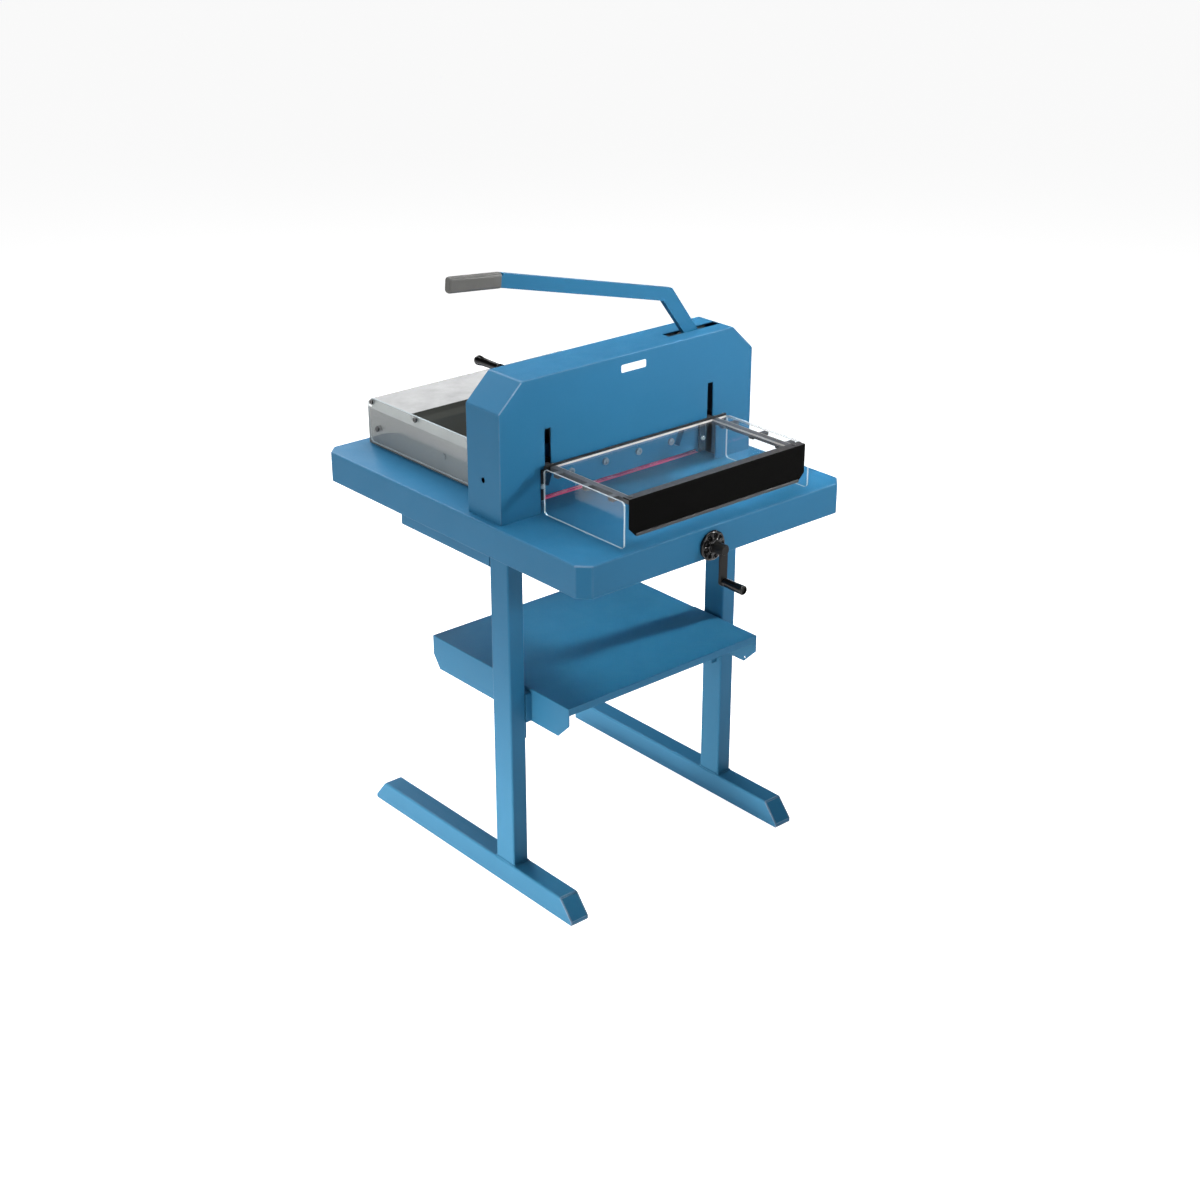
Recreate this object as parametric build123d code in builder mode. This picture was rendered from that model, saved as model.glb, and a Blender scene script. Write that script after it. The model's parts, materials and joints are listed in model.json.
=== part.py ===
"""Guillotine paper cutter on its own stand: one STEP file per named piece.

Millimetres.  X runs to the right along the portal, Y runs to the rear of the
table, Z is up.  The pieces are drawn about a point on the floor under the
middle of the table, and saved about the middle of the whole machine's footprint.
"""

import math
import os

from build123d import *

os.makedirs("parts", exist_ok=True)

# ---------------------------------------------------------------- dimensions
# from the table's middle to the middle of the whole footprint
MIDDLE_X = -28.4
MIDDLE_Y = -43.5

# table
TABLE_W = 660.0
TABLE_D = 800.0
TABLE_TOP = 780.0
PLATE_T = 14.0
SKIRT_H = 62.0
SKIRT_T = 5.0
TABLE_CORNER = 22.0

# stand
LEG_W = 36.5
LEG_D = 55.0
LEG_X = 278.25
LEG_FRONT = -145.5
LEG_WALL = 3.0
BEAM_BOTTOM = 673.0
BEAM_REAR = 189.0
FOOT_W = 43.5
FOOT_H = 49.0
FOOT_L = 650.0
FOOT_BEVEL = 34.0
FOOT_LIP = 9.0
FOOT_WALL = 3.0

# shelf
SHELF_HALF = 247.5
SHELF_FRONT = -259.0
SHELF_REAR = 168.0
SHELF_TOP = 425.5
SHELF_T = 2.5
SHELF_FLANGE = 69.0
SHELF_LIP = 15.0
SHELF_BOLT_Z = 388.0
BRACKET_FRONT = -148.0
BRACKET_REAR = -60.0
TAB_MID_Y = -103.0
TAB_MID_Z = 342.0
TAB_BOLT_Z = 326.0
SHELF_HOLE_Y = -229.0
SHELF_HOLE_Z = 365.6

# hood
HOOD_HALF = 315.0
HOOD_TOP = 1042.0
HOOD_CORNER_X = 54.0
HOOD_CORNER_Z = 51.0
HOOD_FRONT = -153.0
HOOD_REAR = -56.0
HOOD_T = 3.0
THROAT_HALF = 222.0
THROAT_TOP = 866.0
ARM_SLOT_X = 203.5
ARM_SLOT_W = 15.0
ARM_SLOT_TOP = 942.0
LEVER_SLOT_LEFT = 122.0
LEVER_SLOT_RIGHT = 258.0
LEVER_SLOT_W = 20.0

# portal inside the hood
POST_IN = 240.0
POST_OUT = 300.0
POST_TOP = 960.0
PORTAL_FRONT = -134.0
PORTAL_REAR = -75.0
PORTAL_T = 12.0

# blade drive
LEVER_Y = -110.0
LEVER_T = 12.0
PIVOT_X = 225.0
PIVOT_Z = 985.0
PIVOT_R = 9.98
LEVER_SWING = 50.0
BLADE_LIFT = 42.0
BLADE_SHIFT = 17.0
CRANK_R = BLADE_LIFT / 2 / math.sin(math.radians(LEVER_SWING / 2))
CRANK_PIN_R = 6.0
BEND_X = 123.0
BEND_Z = 1123.0
ARM_END_X = -272.0
ARM_END_Z = 1219.0
GRIP_END_X = -386.0
GRIP_END_Z = 1229.6
ARM_HALF = 13.0
NECK_HALF = 14.0
TANG_L = 88.0

CARRIER_HALF = 218.0
CARRIER_FRONT = -125.0
CARRIER_REAR = -103.0
CARRIER_BOTTOM = 800.0
CARRIER_TOP = 900.0
BLADE_HALF = 220.0
BLADE_T = 8.0
BLADE_TOP = 852.0
GUIDE_X = 165.0
GUIDE_Z = 873.0
GUIDE_W = 14.0
GUIDE_L = 24.0
FIT = 0.05

# clamp
CLAMP_FRONT = -93.0
CLAMP_REAR = -77.0
CLAMP_HALF = 239.6
CLAMP_BOTTOM = 824.0
CLAMP_TOP = 864.0
CLAMP_STROKE = 42.0
CLAMP_SWING = 50.0
CLAMP_X = -140.0
CLAMP_Z = 970.0
CLAMP_SHAFT_R = 8.0
CLAMP_CRANK_R = CLAMP_STROKE / 2 / math.sin(math.radians(CLAMP_SWING / 2))
CLAMP_GRIP_X = -228.0
CLAMP_GRIP_Z = 1035.0
CLAMP_GRIP_END = 22.0
CLAMP_ARM_BACK = -46.0
CLAMP_CRANK_FRONT = -85.0

# front guard
GUARD_AXIS_Y = -145.0
GUARD_AXIS_Z = 868.0
GUARD_LEFT = -227.0
BAR_LEFT = -213.0
GUARD_RIGHT = 238.0
GUARD_BACK = -168.0
GUARD_FRONT = -388.0
GUARD_BOTTOM = 785.0
ACRYLIC = 4.0
RAIL_W = 13.0
RAIL_H = 10.0
BAR_H = 69.0
BAR_BOTTOM = 803.0

# back gauge and its spindle
SPINDLE_X = -24.6
SPINDLE_Z = 743.0
SPINDLE_R = 8.0
GAUGE_Y = 150.0
GAUGE_HALF = 228.0
FLANGE_R = 29.0
CRANK_DROP = 62.0

# rear guard
SIDE_X = 234.0
SIDE_T = 4.0
SIDE_TOP = 856.0
SIDE_REAR = 375.0
REAR_AXIS_Y = -40.0
REAR_AXIS_Z = 872.0
REAR_FRONT = -46.0
REAR_TOP = 881.0
REAR_SPLIT = 220.0
REAR_END = 350.0


# ---------------------------------------------------------------- helpers
def save(builder, name):
    """Move a finished piece to the saved origin, label it and write its STEP file."""
    piece = builder.part.moved(Location((-MIDDLE_X, -MIDDLE_Y, 0)))
    piece.label = name
    export_step(piece, f"parts/{name}.step")


def across(y):
    """Upright plane facing the front at depth y; sketch axes are X and Z."""
    return Plane.XZ.offset(-y)


def along(x):
    """Upright plane facing right at x; sketch axes are Y and Z."""
    return Plane.YZ.offset(x)


def box(x0, x1, y0, y1, z0, z1, mode=Mode.ADD):
    """Box given by its six limits."""
    with Locations(((x0 + x1) / 2, (y0 + y1) / 2, (z0 + z1) / 2)):
        Box(abs(x1 - x0), abs(y1 - y0), abs(z1 - z0), mode=mode)


def hood_outline(inset):
    """Corner points of the hood seen from the front, drawn in by an inset."""
    half = HOOD_HALF - inset
    top = HOOD_TOP - inset
    cut_x = HOOD_CORNER_X - 0.4 * inset
    cut_z = HOOD_CORNER_Z - 0.4 * inset
    return [
        (-half, TABLE_TOP),
        (-half, top - cut_z),
        (-half + cut_x, top),
        (half - cut_x, top),
        (half, top - cut_z),
        (half, TABLE_TOP),
    ]


def table_outline(inset):
    """Corner points of the table in plan, drawn in by an inset."""
    w = TABLE_W / 2 - inset
    d = TABLE_D / 2 - inset
    c = TABLE_CORNER - 0.5 * inset
    return [
        (-w + c, -d),
        (w - c, -d),
        (w, -d + c),
        (w, d - c),
        (w - c, d),
        (-w + c, d),
        (-w, d - c),
        (-w, -d + c),
    ]


# ---------------------------------------------------------------- stand
FOOT_SIDE = [
    (-FOOT_L / 2, 0),
    (FOOT_L / 2, 0),
    (FOOT_L / 2, FOOT_LIP),
    (FOOT_L / 2 - FOOT_BEVEL, FOOT_H),
    (-FOOT_L / 2 + FOOT_BEVEL, FOOT_H),
    (-FOOT_L / 2, FOOT_LIP),
]

with BuildPart() as foot_tubes:
    for side in (-1, 1):
        with BuildSketch(along(side * LEG_X - FOOT_W / 2)):
            with BuildLine():
                Polyline(*FOOT_SIDE, close=True)
            make_face()
        extrude(amount=FOOT_W)
    fillet(foot_tubes.edges().filter_by(Axis.Y).group_by(Axis.Z)[-1], 4)
    for side in (-1, 1):
        box(
            side * LEG_X - FOOT_W / 2 + FOOT_WALL,
            side * LEG_X + FOOT_W / 2 - FOOT_WALL,
            -FOOT_L,
            FOOT_L,
            FOOT_WALL,
            FOOT_H - FOOT_WALL,
            mode=Mode.SUBTRACT,
        )
save(foot_tubes, "foot_tubes")

with BuildPart() as foot_end_plates:
    rise = FOOT_H - FOOT_WALL - FOOT_LIP
    lean = FOOT_BEVEL * rise / (FOOT_H - FOOT_LIP)
    end = FOOT_L / 2
    for side in (-1, 1):
        for way in (-1, 1):
            with BuildSketch(along(side * LEG_X - FOOT_W / 2 + FOOT_WALL)):
                with BuildLine():
                    Polyline(
                        (way * end, FOOT_WALL),
                        (way * end, FOOT_LIP),
                        (way * (end - lean), FOOT_H - FOOT_WALL),
                        (way * (end - lean - 4), FOOT_H - FOOT_WALL),
                        (way * (end - 4), FOOT_LIP),
                        (way * (end - 4), FOOT_WALL),
                        close=True,
                    )
                make_face()
            extrude(amount=FOOT_W - 2 * FOOT_WALL)
save(foot_end_plates, "foot_end_plates")

with BuildPart() as legs:
    leg_mid = LEG_FRONT + LEG_D / 2
    shelf_bolt_spots = ((leg_mid - 12, SHELF_BOLT_Z), (leg_mid + 12, SHELF_BOLT_Z), (TAB_MID_Y, TAB_BOLT_Z))
    for side in (-1, 1):
        with BuildSketch(Plane.XY.offset(FOOT_H)):
            with Locations((side * LEG_X, leg_mid)):
                RectangleRounded(LEG_W, LEG_D, 4)
                Rectangle(LEG_W - 2 * LEG_WALL, LEG_D - 2 * LEG_WALL, mode=Mode.SUBTRACT)
        extrude(amount=TABLE_TOP - PLATE_T - FOOT_H)
        # bolt holes through the wall that faces the shelf
        with BuildSketch(along(side * (LEG_X - LEG_W / 2 + LEG_WALL / 2) - LEG_WALL)):
            with Locations(*shelf_bolt_spots):
                Circle(4.1)
        extrude(amount=2 * LEG_WALL, mode=Mode.SUBTRACT)
save(legs, "legs")

with BuildPart() as top_beams:
    beam_front = LEG_FRONT + LEG_D
    beam_top = TABLE_TOP - PLATE_T
    for side in (-1, 1):
        with BuildSketch(across(BEAM_REAR)):
            with Locations((side * LEG_X, (BEAM_BOTTOM + beam_top) / 2)):
                RectangleRounded(LEG_W, beam_top - BEAM_BOTTOM, 4)
        extrude(amount=BEAM_REAR - beam_front)
        box(
            side * LEG_X - LEG_W / 2 + LEG_WALL,
            side * LEG_X + LEG_W / 2 - LEG_WALL,
            beam_front,
            BEAM_REAR - LEG_WALL,
            BEAM_BOTTOM + LEG_WALL,
            beam_top - LEG_WALL,
            mode=Mode.SUBTRACT,
        )
save(top_beams, "top_beams")

# shelf tray: a flat sheet with side flanges and narrow front and rear lips
with BuildPart() as shelf_tray:
    box(-SHELF_HALF, SHELF_HALF, SHELF_FRONT, SHELF_REAR, SHELF_TOP - SHELF_T, SHELF_TOP)
    low = SHELF_TOP - SHELF_FLANGE
    for x in (-SHELF_HALF, SHELF_HALF - SHELF_T):
        with BuildSketch(along(x)):
            with BuildLine():
                Polyline(
                    (SHELF_FRONT, SHELF_TOP - SHELF_T),
                    (SHELF_FRONT, low + 32),
                    (SHELF_FRONT + 32, low),
                    (SHELF_REAR - 20, low),
                    (SHELF_REAR, low + 28),
                    (SHELF_REAR, SHELF_TOP - SHELF_T),
                    close=True,
                )
            make_face()
            with Locations((leg_mid - 12, SHELF_BOLT_Z), (leg_mid + 12, SHELF_BOLT_Z)):
                Circle(4.1, mode=Mode.SUBTRACT)
            if x > 0:
                with Locations((SHELF_HOLE_Y, SHELF_HOLE_Z)):
                    Circle(2.6, mode=Mode.SUBTRACT)
        extrude(amount=SHELF_T)
    for y in (SHELF_FRONT, SHELF_REAR - SHELF_T):
        box(
            -SHELF_HALF + SHELF_T,
            SHELF_HALF - SHELF_T,
            y,
            y + SHELF_T,
            SHELF_TOP - SHELF_LIP,
            SHELF_TOP - SHELF_T,
        )
    fillet(shelf_tray.edges().filter_by(Axis.Y).group_by(Axis.Z)[-1], 1.8)
save(shelf_tray, "shelf_tray")

# spacer plates between the shelf and the legs, each with a lower tab of its own bolt
with BuildPart() as shelf_brackets:
    gap = LEG_X - LEG_W / 2 - SHELF_HALF
    for x in (-SHELF_HALF - gap, SHELF_HALF):
        with BuildSketch(along(x)):
            with Locations(((BRACKET_FRONT + BRACKET_REAR) / 2, SHELF_BOLT_Z - 1)):
                RectangleRounded(BRACKET_REAR - BRACKET_FRONT, 62, 4)
            with Locations((TAB_MID_Y, TAB_MID_Z)):
                RectangleRounded(56, 60, 4)
            with Locations(*shelf_bolt_spots):
                Circle(4.1, mode=Mode.SUBTRACT)
        extrude(amount=gap)
save(shelf_brackets, "shelf_brackets")

# bolts from inside the shelf's flanges, or from the tabs, to nuts inside the legs
with BuildPart() as shelf_bolts:
    nut_face = LEG_X - LEG_W / 2 + LEG_WALL
    for side in (-1, 1):
        for y, z in shelf_bolt_spots:
            head_face = SHELF_HALF if z == TAB_BOLT_Z else SHELF_HALF - SHELF_T
            with BuildSketch(along(side * head_face)):
                with Locations((y, z)):
                    RegularPolygon(7.5, 6)
            extrude(amount=-side * 5.5)
            with BuildSketch(along(side * head_face)):
                with Locations((y, z)):
                    Circle(4)
            extrude(amount=side * (nut_face - head_face + 7))
            with BuildSketch(along(side * nut_face)):
                with Locations((y, z)):
                    RegularPolygon(7.5, 6)
            extrude(amount=side * 5)
save(shelf_bolts, "shelf_bolts")

# ---------------------------------------------------------------- table
STICK_Y = -97.0
STICK_W = 10.0
STICK_H = 8.0
STICK_HALF = 225.0

with BuildPart() as table_plate:
    with BuildSketch(Plane.XY.offset(TABLE_TOP - PLATE_T)):
        with BuildLine():
            Polyline(*table_outline(0), close=True)
        make_face()
    extrude(amount=PLATE_T)
    fillet(table_plate.faces().sort_by(Axis.Z)[-1].edges(), 4)
    box(
        -STICK_HALF,
        STICK_HALF,
        STICK_Y - STICK_W / 2,
        STICK_Y + STICK_W / 2,
        TABLE_TOP - STICK_H,
        TABLE_TOP,
        mode=Mode.SUBTRACT,
    )
    box(
        SPINDLE_X - 9,
        SPINDLE_X + 9,
        -75,
        372,
        TABLE_TOP - PLATE_T,
        TABLE_TOP,
        mode=Mode.SUBTRACT,
    )
save(table_plate, "table_plate")

with BuildPart() as table_skirt:
    with BuildSketch(Plane.XY.offset(TABLE_TOP - SKIRT_H)):
        with BuildLine():
            Polyline(*table_outline(0), close=True)
        make_face()
        with BuildLine():
            Polyline(*table_outline(SKIRT_T), close=True)
        make_face(mode=Mode.SUBTRACT)
    extrude(amount=SKIRT_H - PLATE_T)
    with BuildSketch(across(-TABLE_D / 2 + 10)):
        with Locations((SPINDLE_X, SPINDLE_Z)):
            Circle(13)
    extrude(amount=20, mode=Mode.SUBTRACT)
save(table_skirt, "table_skirt")

with BuildPart() as cutting_stick:
    box(
        -STICK_HALF,
        STICK_HALF,
        STICK_Y - STICK_W / 2,
        STICK_Y + STICK_W / 2,
        TABLE_TOP - STICK_H,
        TABLE_TOP,
    )
save(cutting_stick, "cutting_stick")

# side plates guide the paper behind the portal and carry the rear guard pins
with BuildPart() as side_plates:
    for x in (-SIDE_X - SIDE_T, SIDE_X):
        with BuildSketch(along(x)):
            with BuildLine():
                Polyline(
                    (HOOD_REAR + 2, TABLE_TOP),
                    (SIDE_REAR, TABLE_TOP),
                    (SIDE_REAR, SIDE_TOP),
                    (REAR_AXIS_Y + 22, SIDE_TOP),
                    (REAR_AXIS_Y + 7, REAR_AXIS_Z + 6),
                    (REAR_AXIS_Y - 10, REAR_AXIS_Z + 6),
                    (HOOD_REAR + 2, REAR_AXIS_Z),
                    close=True,
                )
            make_face()
            with Locations((REAR_AXIS_Y, REAR_AXIS_Z - 3)):
                Circle(4 + FIT, mode=Mode.SUBTRACT)
        extrude(amount=SIDE_T)
save(side_plates, "side_plates")

# ---------------------------------------------------------------- hood
with BuildPart() as hood_band:
    with BuildSketch(across(HOOD_REAR - HOOD_T)):
        with BuildLine():
            Polyline(*hood_outline(0), close=True)
        make_face()
        with BuildLine():
            Polyline(*hood_outline(HOOD_T), close=True)
        make_face(mode=Mode.SUBTRACT)
    extrude(amount=HOOD_REAR - HOOD_FRONT - 2 * HOOD_T)
    box(
        LEVER_SLOT_LEFT,
        LEVER_SLOT_RIGHT,
        LEVER_Y - LEVER_SLOT_W / 2,
        LEVER_Y + LEVER_SLOT_W / 2,
        HOOD_TOP - 10,
        HOOD_TOP + 1,
        mode=Mode.SUBTRACT,
    )
    with BuildSketch(along(-HOOD_HALF - 1)):
        with Locations((-102.0, 854.0)):
            Circle(5.5)
    extrude(amount=HOOD_T + 2, mode=Mode.SUBTRACT)
save(hood_band, "hood_band")

with BuildPart() as hood_front:
    with BuildSketch(across(HOOD_FRONT + HOOD_T)):
        with BuildLine():
            Polyline(*hood_outline(0), close=True)
        make_face()
        with Locations((0, (TABLE_TOP + THROAT_TOP) / 2)):
            Rectangle(2 * THROAT_HALF, THROAT_TOP - TABLE_TOP, mode=Mode.SUBTRACT)
        with Locations(
            (-ARM_SLOT_X, (THROAT_TOP + ARM_SLOT_TOP) / 2 - 1),
            (ARM_SLOT_X, (THROAT_TOP + ARM_SLOT_TOP) / 2 - 1),
        ):
            Rectangle(ARM_SLOT_W, ARM_SLOT_TOP - THROAT_TOP + 2, mode=Mode.SUBTRACT)
    extrude(amount=HOOD_T)
    outer = hood_front.faces().sort_by(Axis.Y)[0].edges()
    rim = outer.filter_by(lambda e: e.center().Z > ARM_SLOT_TOP + 2)
    sides = outer.filter_by(lambda e: abs(e.center().X) > HOOD_HALF - 1)
    fillet(rim + sides, 2.5)
save(hood_front, "hood_front")

with BuildPart() as hood_rear:
    with BuildSketch(across(HOOD_REAR)):
        with BuildLine():
            Polyline(*hood_outline(0), close=True)
        make_face()
        with Locations((0, (TABLE_TOP + THROAT_TOP) / 2)):
            Rectangle(2 * THROAT_HALF + 8, THROAT_TOP - TABLE_TOP, mode=Mode.SUBTRACT)
        with Locations((CLAMP_X, CLAMP_Z)):
            Circle(12, mode=Mode.SUBTRACT)
    extrude(amount=HOOD_T)
save(hood_rear, "hood_rear")

with BuildPart() as label_plate:
    box(-27, 34, HOOD_FRONT - 0.8, HOOD_FRONT, 1009, 1024)
    fillet(label_plate.edges().filter_by(Axis.Y), 3)
save(label_plate, "label_plate")

# ---------------------------------------------------------------- portal
with BuildPart() as portal_posts:
    for side in (-1, 1):
        box(
            side * POST_IN,
            side * POST_OUT,
            PORTAL_FRONT,
            PORTAL_REAR,
            TABLE_TOP,
            POST_TOP,
        )
    chamfer(portal_posts.edges().filter_by(Axis.Z), 2)
save(portal_posts, "portal_posts")

PORTAL_SHAPE = [
    (-POST_IN, 900),
    (-POST_OUT, 900),
    (-POST_OUT, 985),
    (-258, 1028),
    (258, 1028),
    (POST_OUT, 985),
    (POST_OUT, 900),
    (POST_IN, 900),
    (POST_IN, 945),
    (185, 945),
    (185, 868),
    (-185, 868),
    (-185, 945),
    (-POST_IN, 945),
]

with BuildPart() as portal_front_plate:
    with BuildSketch(across(PORTAL_FRONT)):
        with BuildLine():
            Polyline(*PORTAL_SHAPE, close=True)
        make_face()
        with Locations((PIVOT_X, PIVOT_Z)):
            Circle(PIVOT_R, mode=Mode.SUBTRACT)
        with Locations((-GUIDE_X, GUIDE_Z + 6), (GUIDE_X, GUIDE_Z + 6)):
            Circle(4, mode=Mode.SUBTRACT)
    extrude(amount=PORTAL_T)
save(portal_front_plate, "portal_front_plate")

with BuildPart() as portal_rear_plate:
    with BuildSketch(across(PORTAL_REAR + PORTAL_T)):
        with BuildLine():
            Polyline(*PORTAL_SHAPE, close=True)
        make_face()
        with Locations((PIVOT_X, PIVOT_Z)):
            Circle(PIVOT_R, mode=Mode.SUBTRACT)
        with Locations((CLAMP_X, CLAMP_Z)):
            Circle(CLAMP_SHAFT_R + FIT, mode=Mode.SUBTRACT)
    extrude(amount=PORTAL_T)
save(portal_rear_plate, "portal_rear_plate")

# fixed steel shaft the blade lever turns on
with BuildPart() as lever_shaft:
    with BuildSketch(across(PORTAL_REAR + PORTAL_T)):
        with Locations((PIVOT_X, PIVOT_Z)):
            Circle(PIVOT_R)
    extrude(amount=PORTAL_REAR + PORTAL_T - (PORTAL_FRONT - PORTAL_T))
    with BuildSketch(across(PORTAL_FRONT - PORTAL_T)):
        with Locations((PIVOT_X, PIVOT_Z)):
            Circle(14)
    extrude(amount=3)
save(lever_shaft, "lever_shaft")

SLANT = math.degrees(math.atan2(BLADE_SHIFT, BLADE_LIFT))

# fixed slide blocks standing in the slanted slots of the blade carrier
with BuildPart() as guide_blocks:
    for x in (-GUIDE_X, GUIDE_X):
        with BuildSketch(across(CARRIER_REAR - 1)):
            with Locations((x, GUIDE_Z)):
                Rectangle(GUIDE_W, GUIDE_L, rotation=-SLANT)
        extrude(amount=CARRIER_REAR - 1 - CARRIER_FRONT)
        with BuildSketch(across(CARRIER_FRONT)):
            with Locations((x, GUIDE_Z + 6)):
                Circle(6)
        extrude(amount=CARRIER_FRONT - PORTAL_FRONT)
        with BuildSketch(across(PORTAL_FRONT)):
            with Locations((x, GUIDE_Z + 6)):
                Circle(4)
        extrude(amount=PORTAL_T)
save(guide_blocks, "guide_blocks")

# ---------------------------------------------------------------- blade
SLIDE_L = math.hypot(BLADE_LIFT, BLADE_SHIFT)
HALF_SWING = math.radians(LEVER_SWING / 2)
PIN_X = PIVOT_X - CRANK_R * math.cos(HALF_SWING)
PIN_Z = PIVOT_Z - CRANK_R * math.sin(HALF_SWING)

with BuildPart() as blade_carrier:
    with BuildSketch(across(CARRIER_REAR)):
        with Locations((0, (CARRIER_BOTTOM + CARRIER_TOP) / 2)):
            Rectangle(2 * CARRIER_HALF, CARRIER_TOP - CARRIER_BOTTOM)
        for x in (-GUIDE_X, GUIDE_X):
            with Locations((x - BLADE_SHIFT / 2, GUIDE_Z - BLADE_LIFT / 2)):
                Rectangle(
                    GUIDE_W + 2 * FIT,
                    GUIDE_L + SLIDE_L + 1,
                    rotation=-SLANT,
                    mode=Mode.SUBTRACT,
                )
        with Locations((-126, 832), (-42, 832), (42, 832), (126, 832)):
            Circle(4.1, mode=Mode.SUBTRACT)
    extrude(amount=CARRIER_REAR - CARRIER_FRONT)
    yoke_left = PIN_X - BLADE_SHIFT - 12
    yoke_right = PIN_X + 13
    with BuildSketch(across(CARRIER_FRONT + 7)):
        with Locations(((yoke_left + yoke_right) / 2, (CARRIER_TOP + PIN_Z + 12) / 2)):
            Rectangle(yoke_right - yoke_left, PIN_Z + 12 - CARRIER_TOP)
        with Locations((PIN_X - BLADE_SHIFT / 2 + 0.5, PIN_Z)):
            Rectangle(
                BLADE_SHIFT + 2 * CRANK_PIN_R + 2,
                2 * CRANK_PIN_R + 1,
                mode=Mode.SUBTRACT,
            )
    extrude(amount=7)
save(blade_carrier, "blade_carrier")

with BuildPart() as blade:
    with BuildSketch(along(-BLADE_HALF)):
        with BuildLine():
            Polyline(
                (CARRIER_REAR, BLADE_TOP),
                (CARRIER_REAR + BLADE_T, BLADE_TOP),
                (CARRIER_REAR + BLADE_T, TABLE_TOP + 0.4),
                (CARRIER_REAR + BLADE_T - 0.6, TABLE_TOP + 0.4),
                (CARRIER_REAR, TABLE_TOP + 15),
                close=True,
            )
        make_face()
    extrude(amount=2 * BLADE_HALF)
    with BuildSketch(across(CARRIER_REAR + BLADE_T)):
        with Locations((-126, 832), (-42, 832), (42, 832), (126, 832)):
            Circle(4.1)
    extrude(amount=BLADE_T, mode=Mode.SUBTRACT)
save(blade, "blade")

with BuildPart() as blade_bolts:
    for x in (-126, -42, 42, 126):
        with BuildSketch(across(CARRIER_FRONT)):
            with Locations((x, 832)):
                Circle(7)
        extrude(amount=4)
        with BuildSketch(across(CARRIER_REAR + BLADE_T - 1)):
            with Locations((x, 832)):
                Circle(4)
        extrude(amount=CARRIER_REAR + BLADE_T - 1 - CARRIER_FRONT)
        with BuildSketch(across(CARRIER_FRONT - 4)):
            with Locations((x, 832)):
                RegularPolygon(3.2, 6)
        extrude(amount=-2.5, mode=Mode.SUBTRACT)
save(blade_bolts, "blade_bolts")

# ---------------------------------------------------------------- blade lever
arm_len = math.hypot(ARM_END_X - BEND_X, ARM_END_Z - BEND_Z)
arm_u = ((ARM_END_X - BEND_X) / arm_len, (ARM_END_Z - BEND_Z) / arm_len)
neck_len = math.hypot(PIVOT_X - BEND_X, PIVOT_Z - BEND_Z)
neck_u = ((PIVOT_X - BEND_X) / neck_len, (PIVOT_Z - BEND_Z) / neck_len)
grip_len = math.hypot(GRIP_END_X - ARM_END_X, GRIP_END_Z - ARM_END_Z)
grip_u = ((GRIP_END_X - ARM_END_X) / grip_len, (GRIP_END_Z - ARM_END_Z) / grip_len)
crank_u = ((PIN_X - PIVOT_X) / CRANK_R, (PIN_Z - PIVOT_Z) / CRANK_R)


def beside(point, direction, offset):
    """Point moved square to a direction in the X-Z view."""
    return (point[0] - direction[1] * offset, point[1] + direction[0] * offset)


GRIP_START = (ARM_END_X + 3 * grip_u[0], ARM_END_Z + 3 * grip_u[1])
GRIP_PLANE = Plane(
    origin=(GRIP_START[0], LEVER_Y, GRIP_START[1]),
    x_dir=(0, 1, 0),
    z_dir=(grip_u[0], 0, grip_u[1]),
)

with BuildPart() as lever_arm:
    with BuildSketch(across(LEVER_Y + LEVER_T / 2)):
        with BuildLine():
            Polyline(
                beside((ARM_END_X, ARM_END_Z), arm_u, -ARM_HALF),
                (133.0, 1133.8),
                beside((PIVOT_X, PIVOT_Z), neck_u, NECK_HALF),
                beside((PIVOT_X, PIVOT_Z), neck_u, -NECK_HALF),
                (111.0, 1112.6),
                beside((ARM_END_X, ARM_END_Z), arm_u, ARM_HALF),
                close=True,
            )
        make_face()
        with BuildLine():
            Polyline(
                beside((PIVOT_X, PIVOT_Z), crank_u, 11),
                beside((PIN_X, PIN_Z), crank_u, 11),
                beside((PIN_X, PIN_Z), crank_u, -11),
                beside((PIVOT_X, PIVOT_Z), crank_u, -11),
                close=True,
            )
        make_face()
        with Locations((PIVOT_X, PIVOT_Z)):
            Circle(20)
        with Locations((PIN_X, PIN_Z)):
            Circle(11)
        with Locations((PIVOT_X, PIVOT_Z)):
            Circle(PIVOT_R + 0.07, mode=Mode.SUBTRACT)
    extrude(amount=LEVER_T)
    with BuildSketch(GRIP_PLANE.offset(-16)):
        Rectangle(LEVER_T, 16)
    extrude(amount=TANG_L + 16)
save(lever_arm, "lever_arm")

with BuildPart() as lever_grip:
    with BuildSketch(GRIP_PLANE):
        RectangleRounded(17, 29, 7)
    extrude(amount=grip_len - 3)
    fillet(lever_grip.faces().sort_by(Axis.X)[0].edges(), 4)
    with BuildSketch(GRIP_PLANE):
        Rectangle(LEVER_T, 16)
    extrude(amount=TANG_L, mode=Mode.SUBTRACT)
save(lever_grip, "lever_grip")

with BuildPart() as lever_crank_pin:
    with BuildSketch(across(LEVER_Y - LEVER_T / 2)):
        with Locations((PIN_X, PIN_Z)):
            Circle(CRANK_PIN_R)
    extrude(amount=9.5)
save(lever_crank_pin, "lever_crank_pin")

# ---------------------------------------------------------------- clamp
CLAMP_HALF_SWING = math.radians(CLAMP_SWING / 2)
CLAMP_PIN_X = CLAMP_X - CLAMP_CRANK_R * math.cos(CLAMP_HALF_SWING)
CLAMP_PIN_Z = CLAMP_Z + CLAMP_CRANK_R * math.sin(CLAMP_HALF_SWING)

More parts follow.
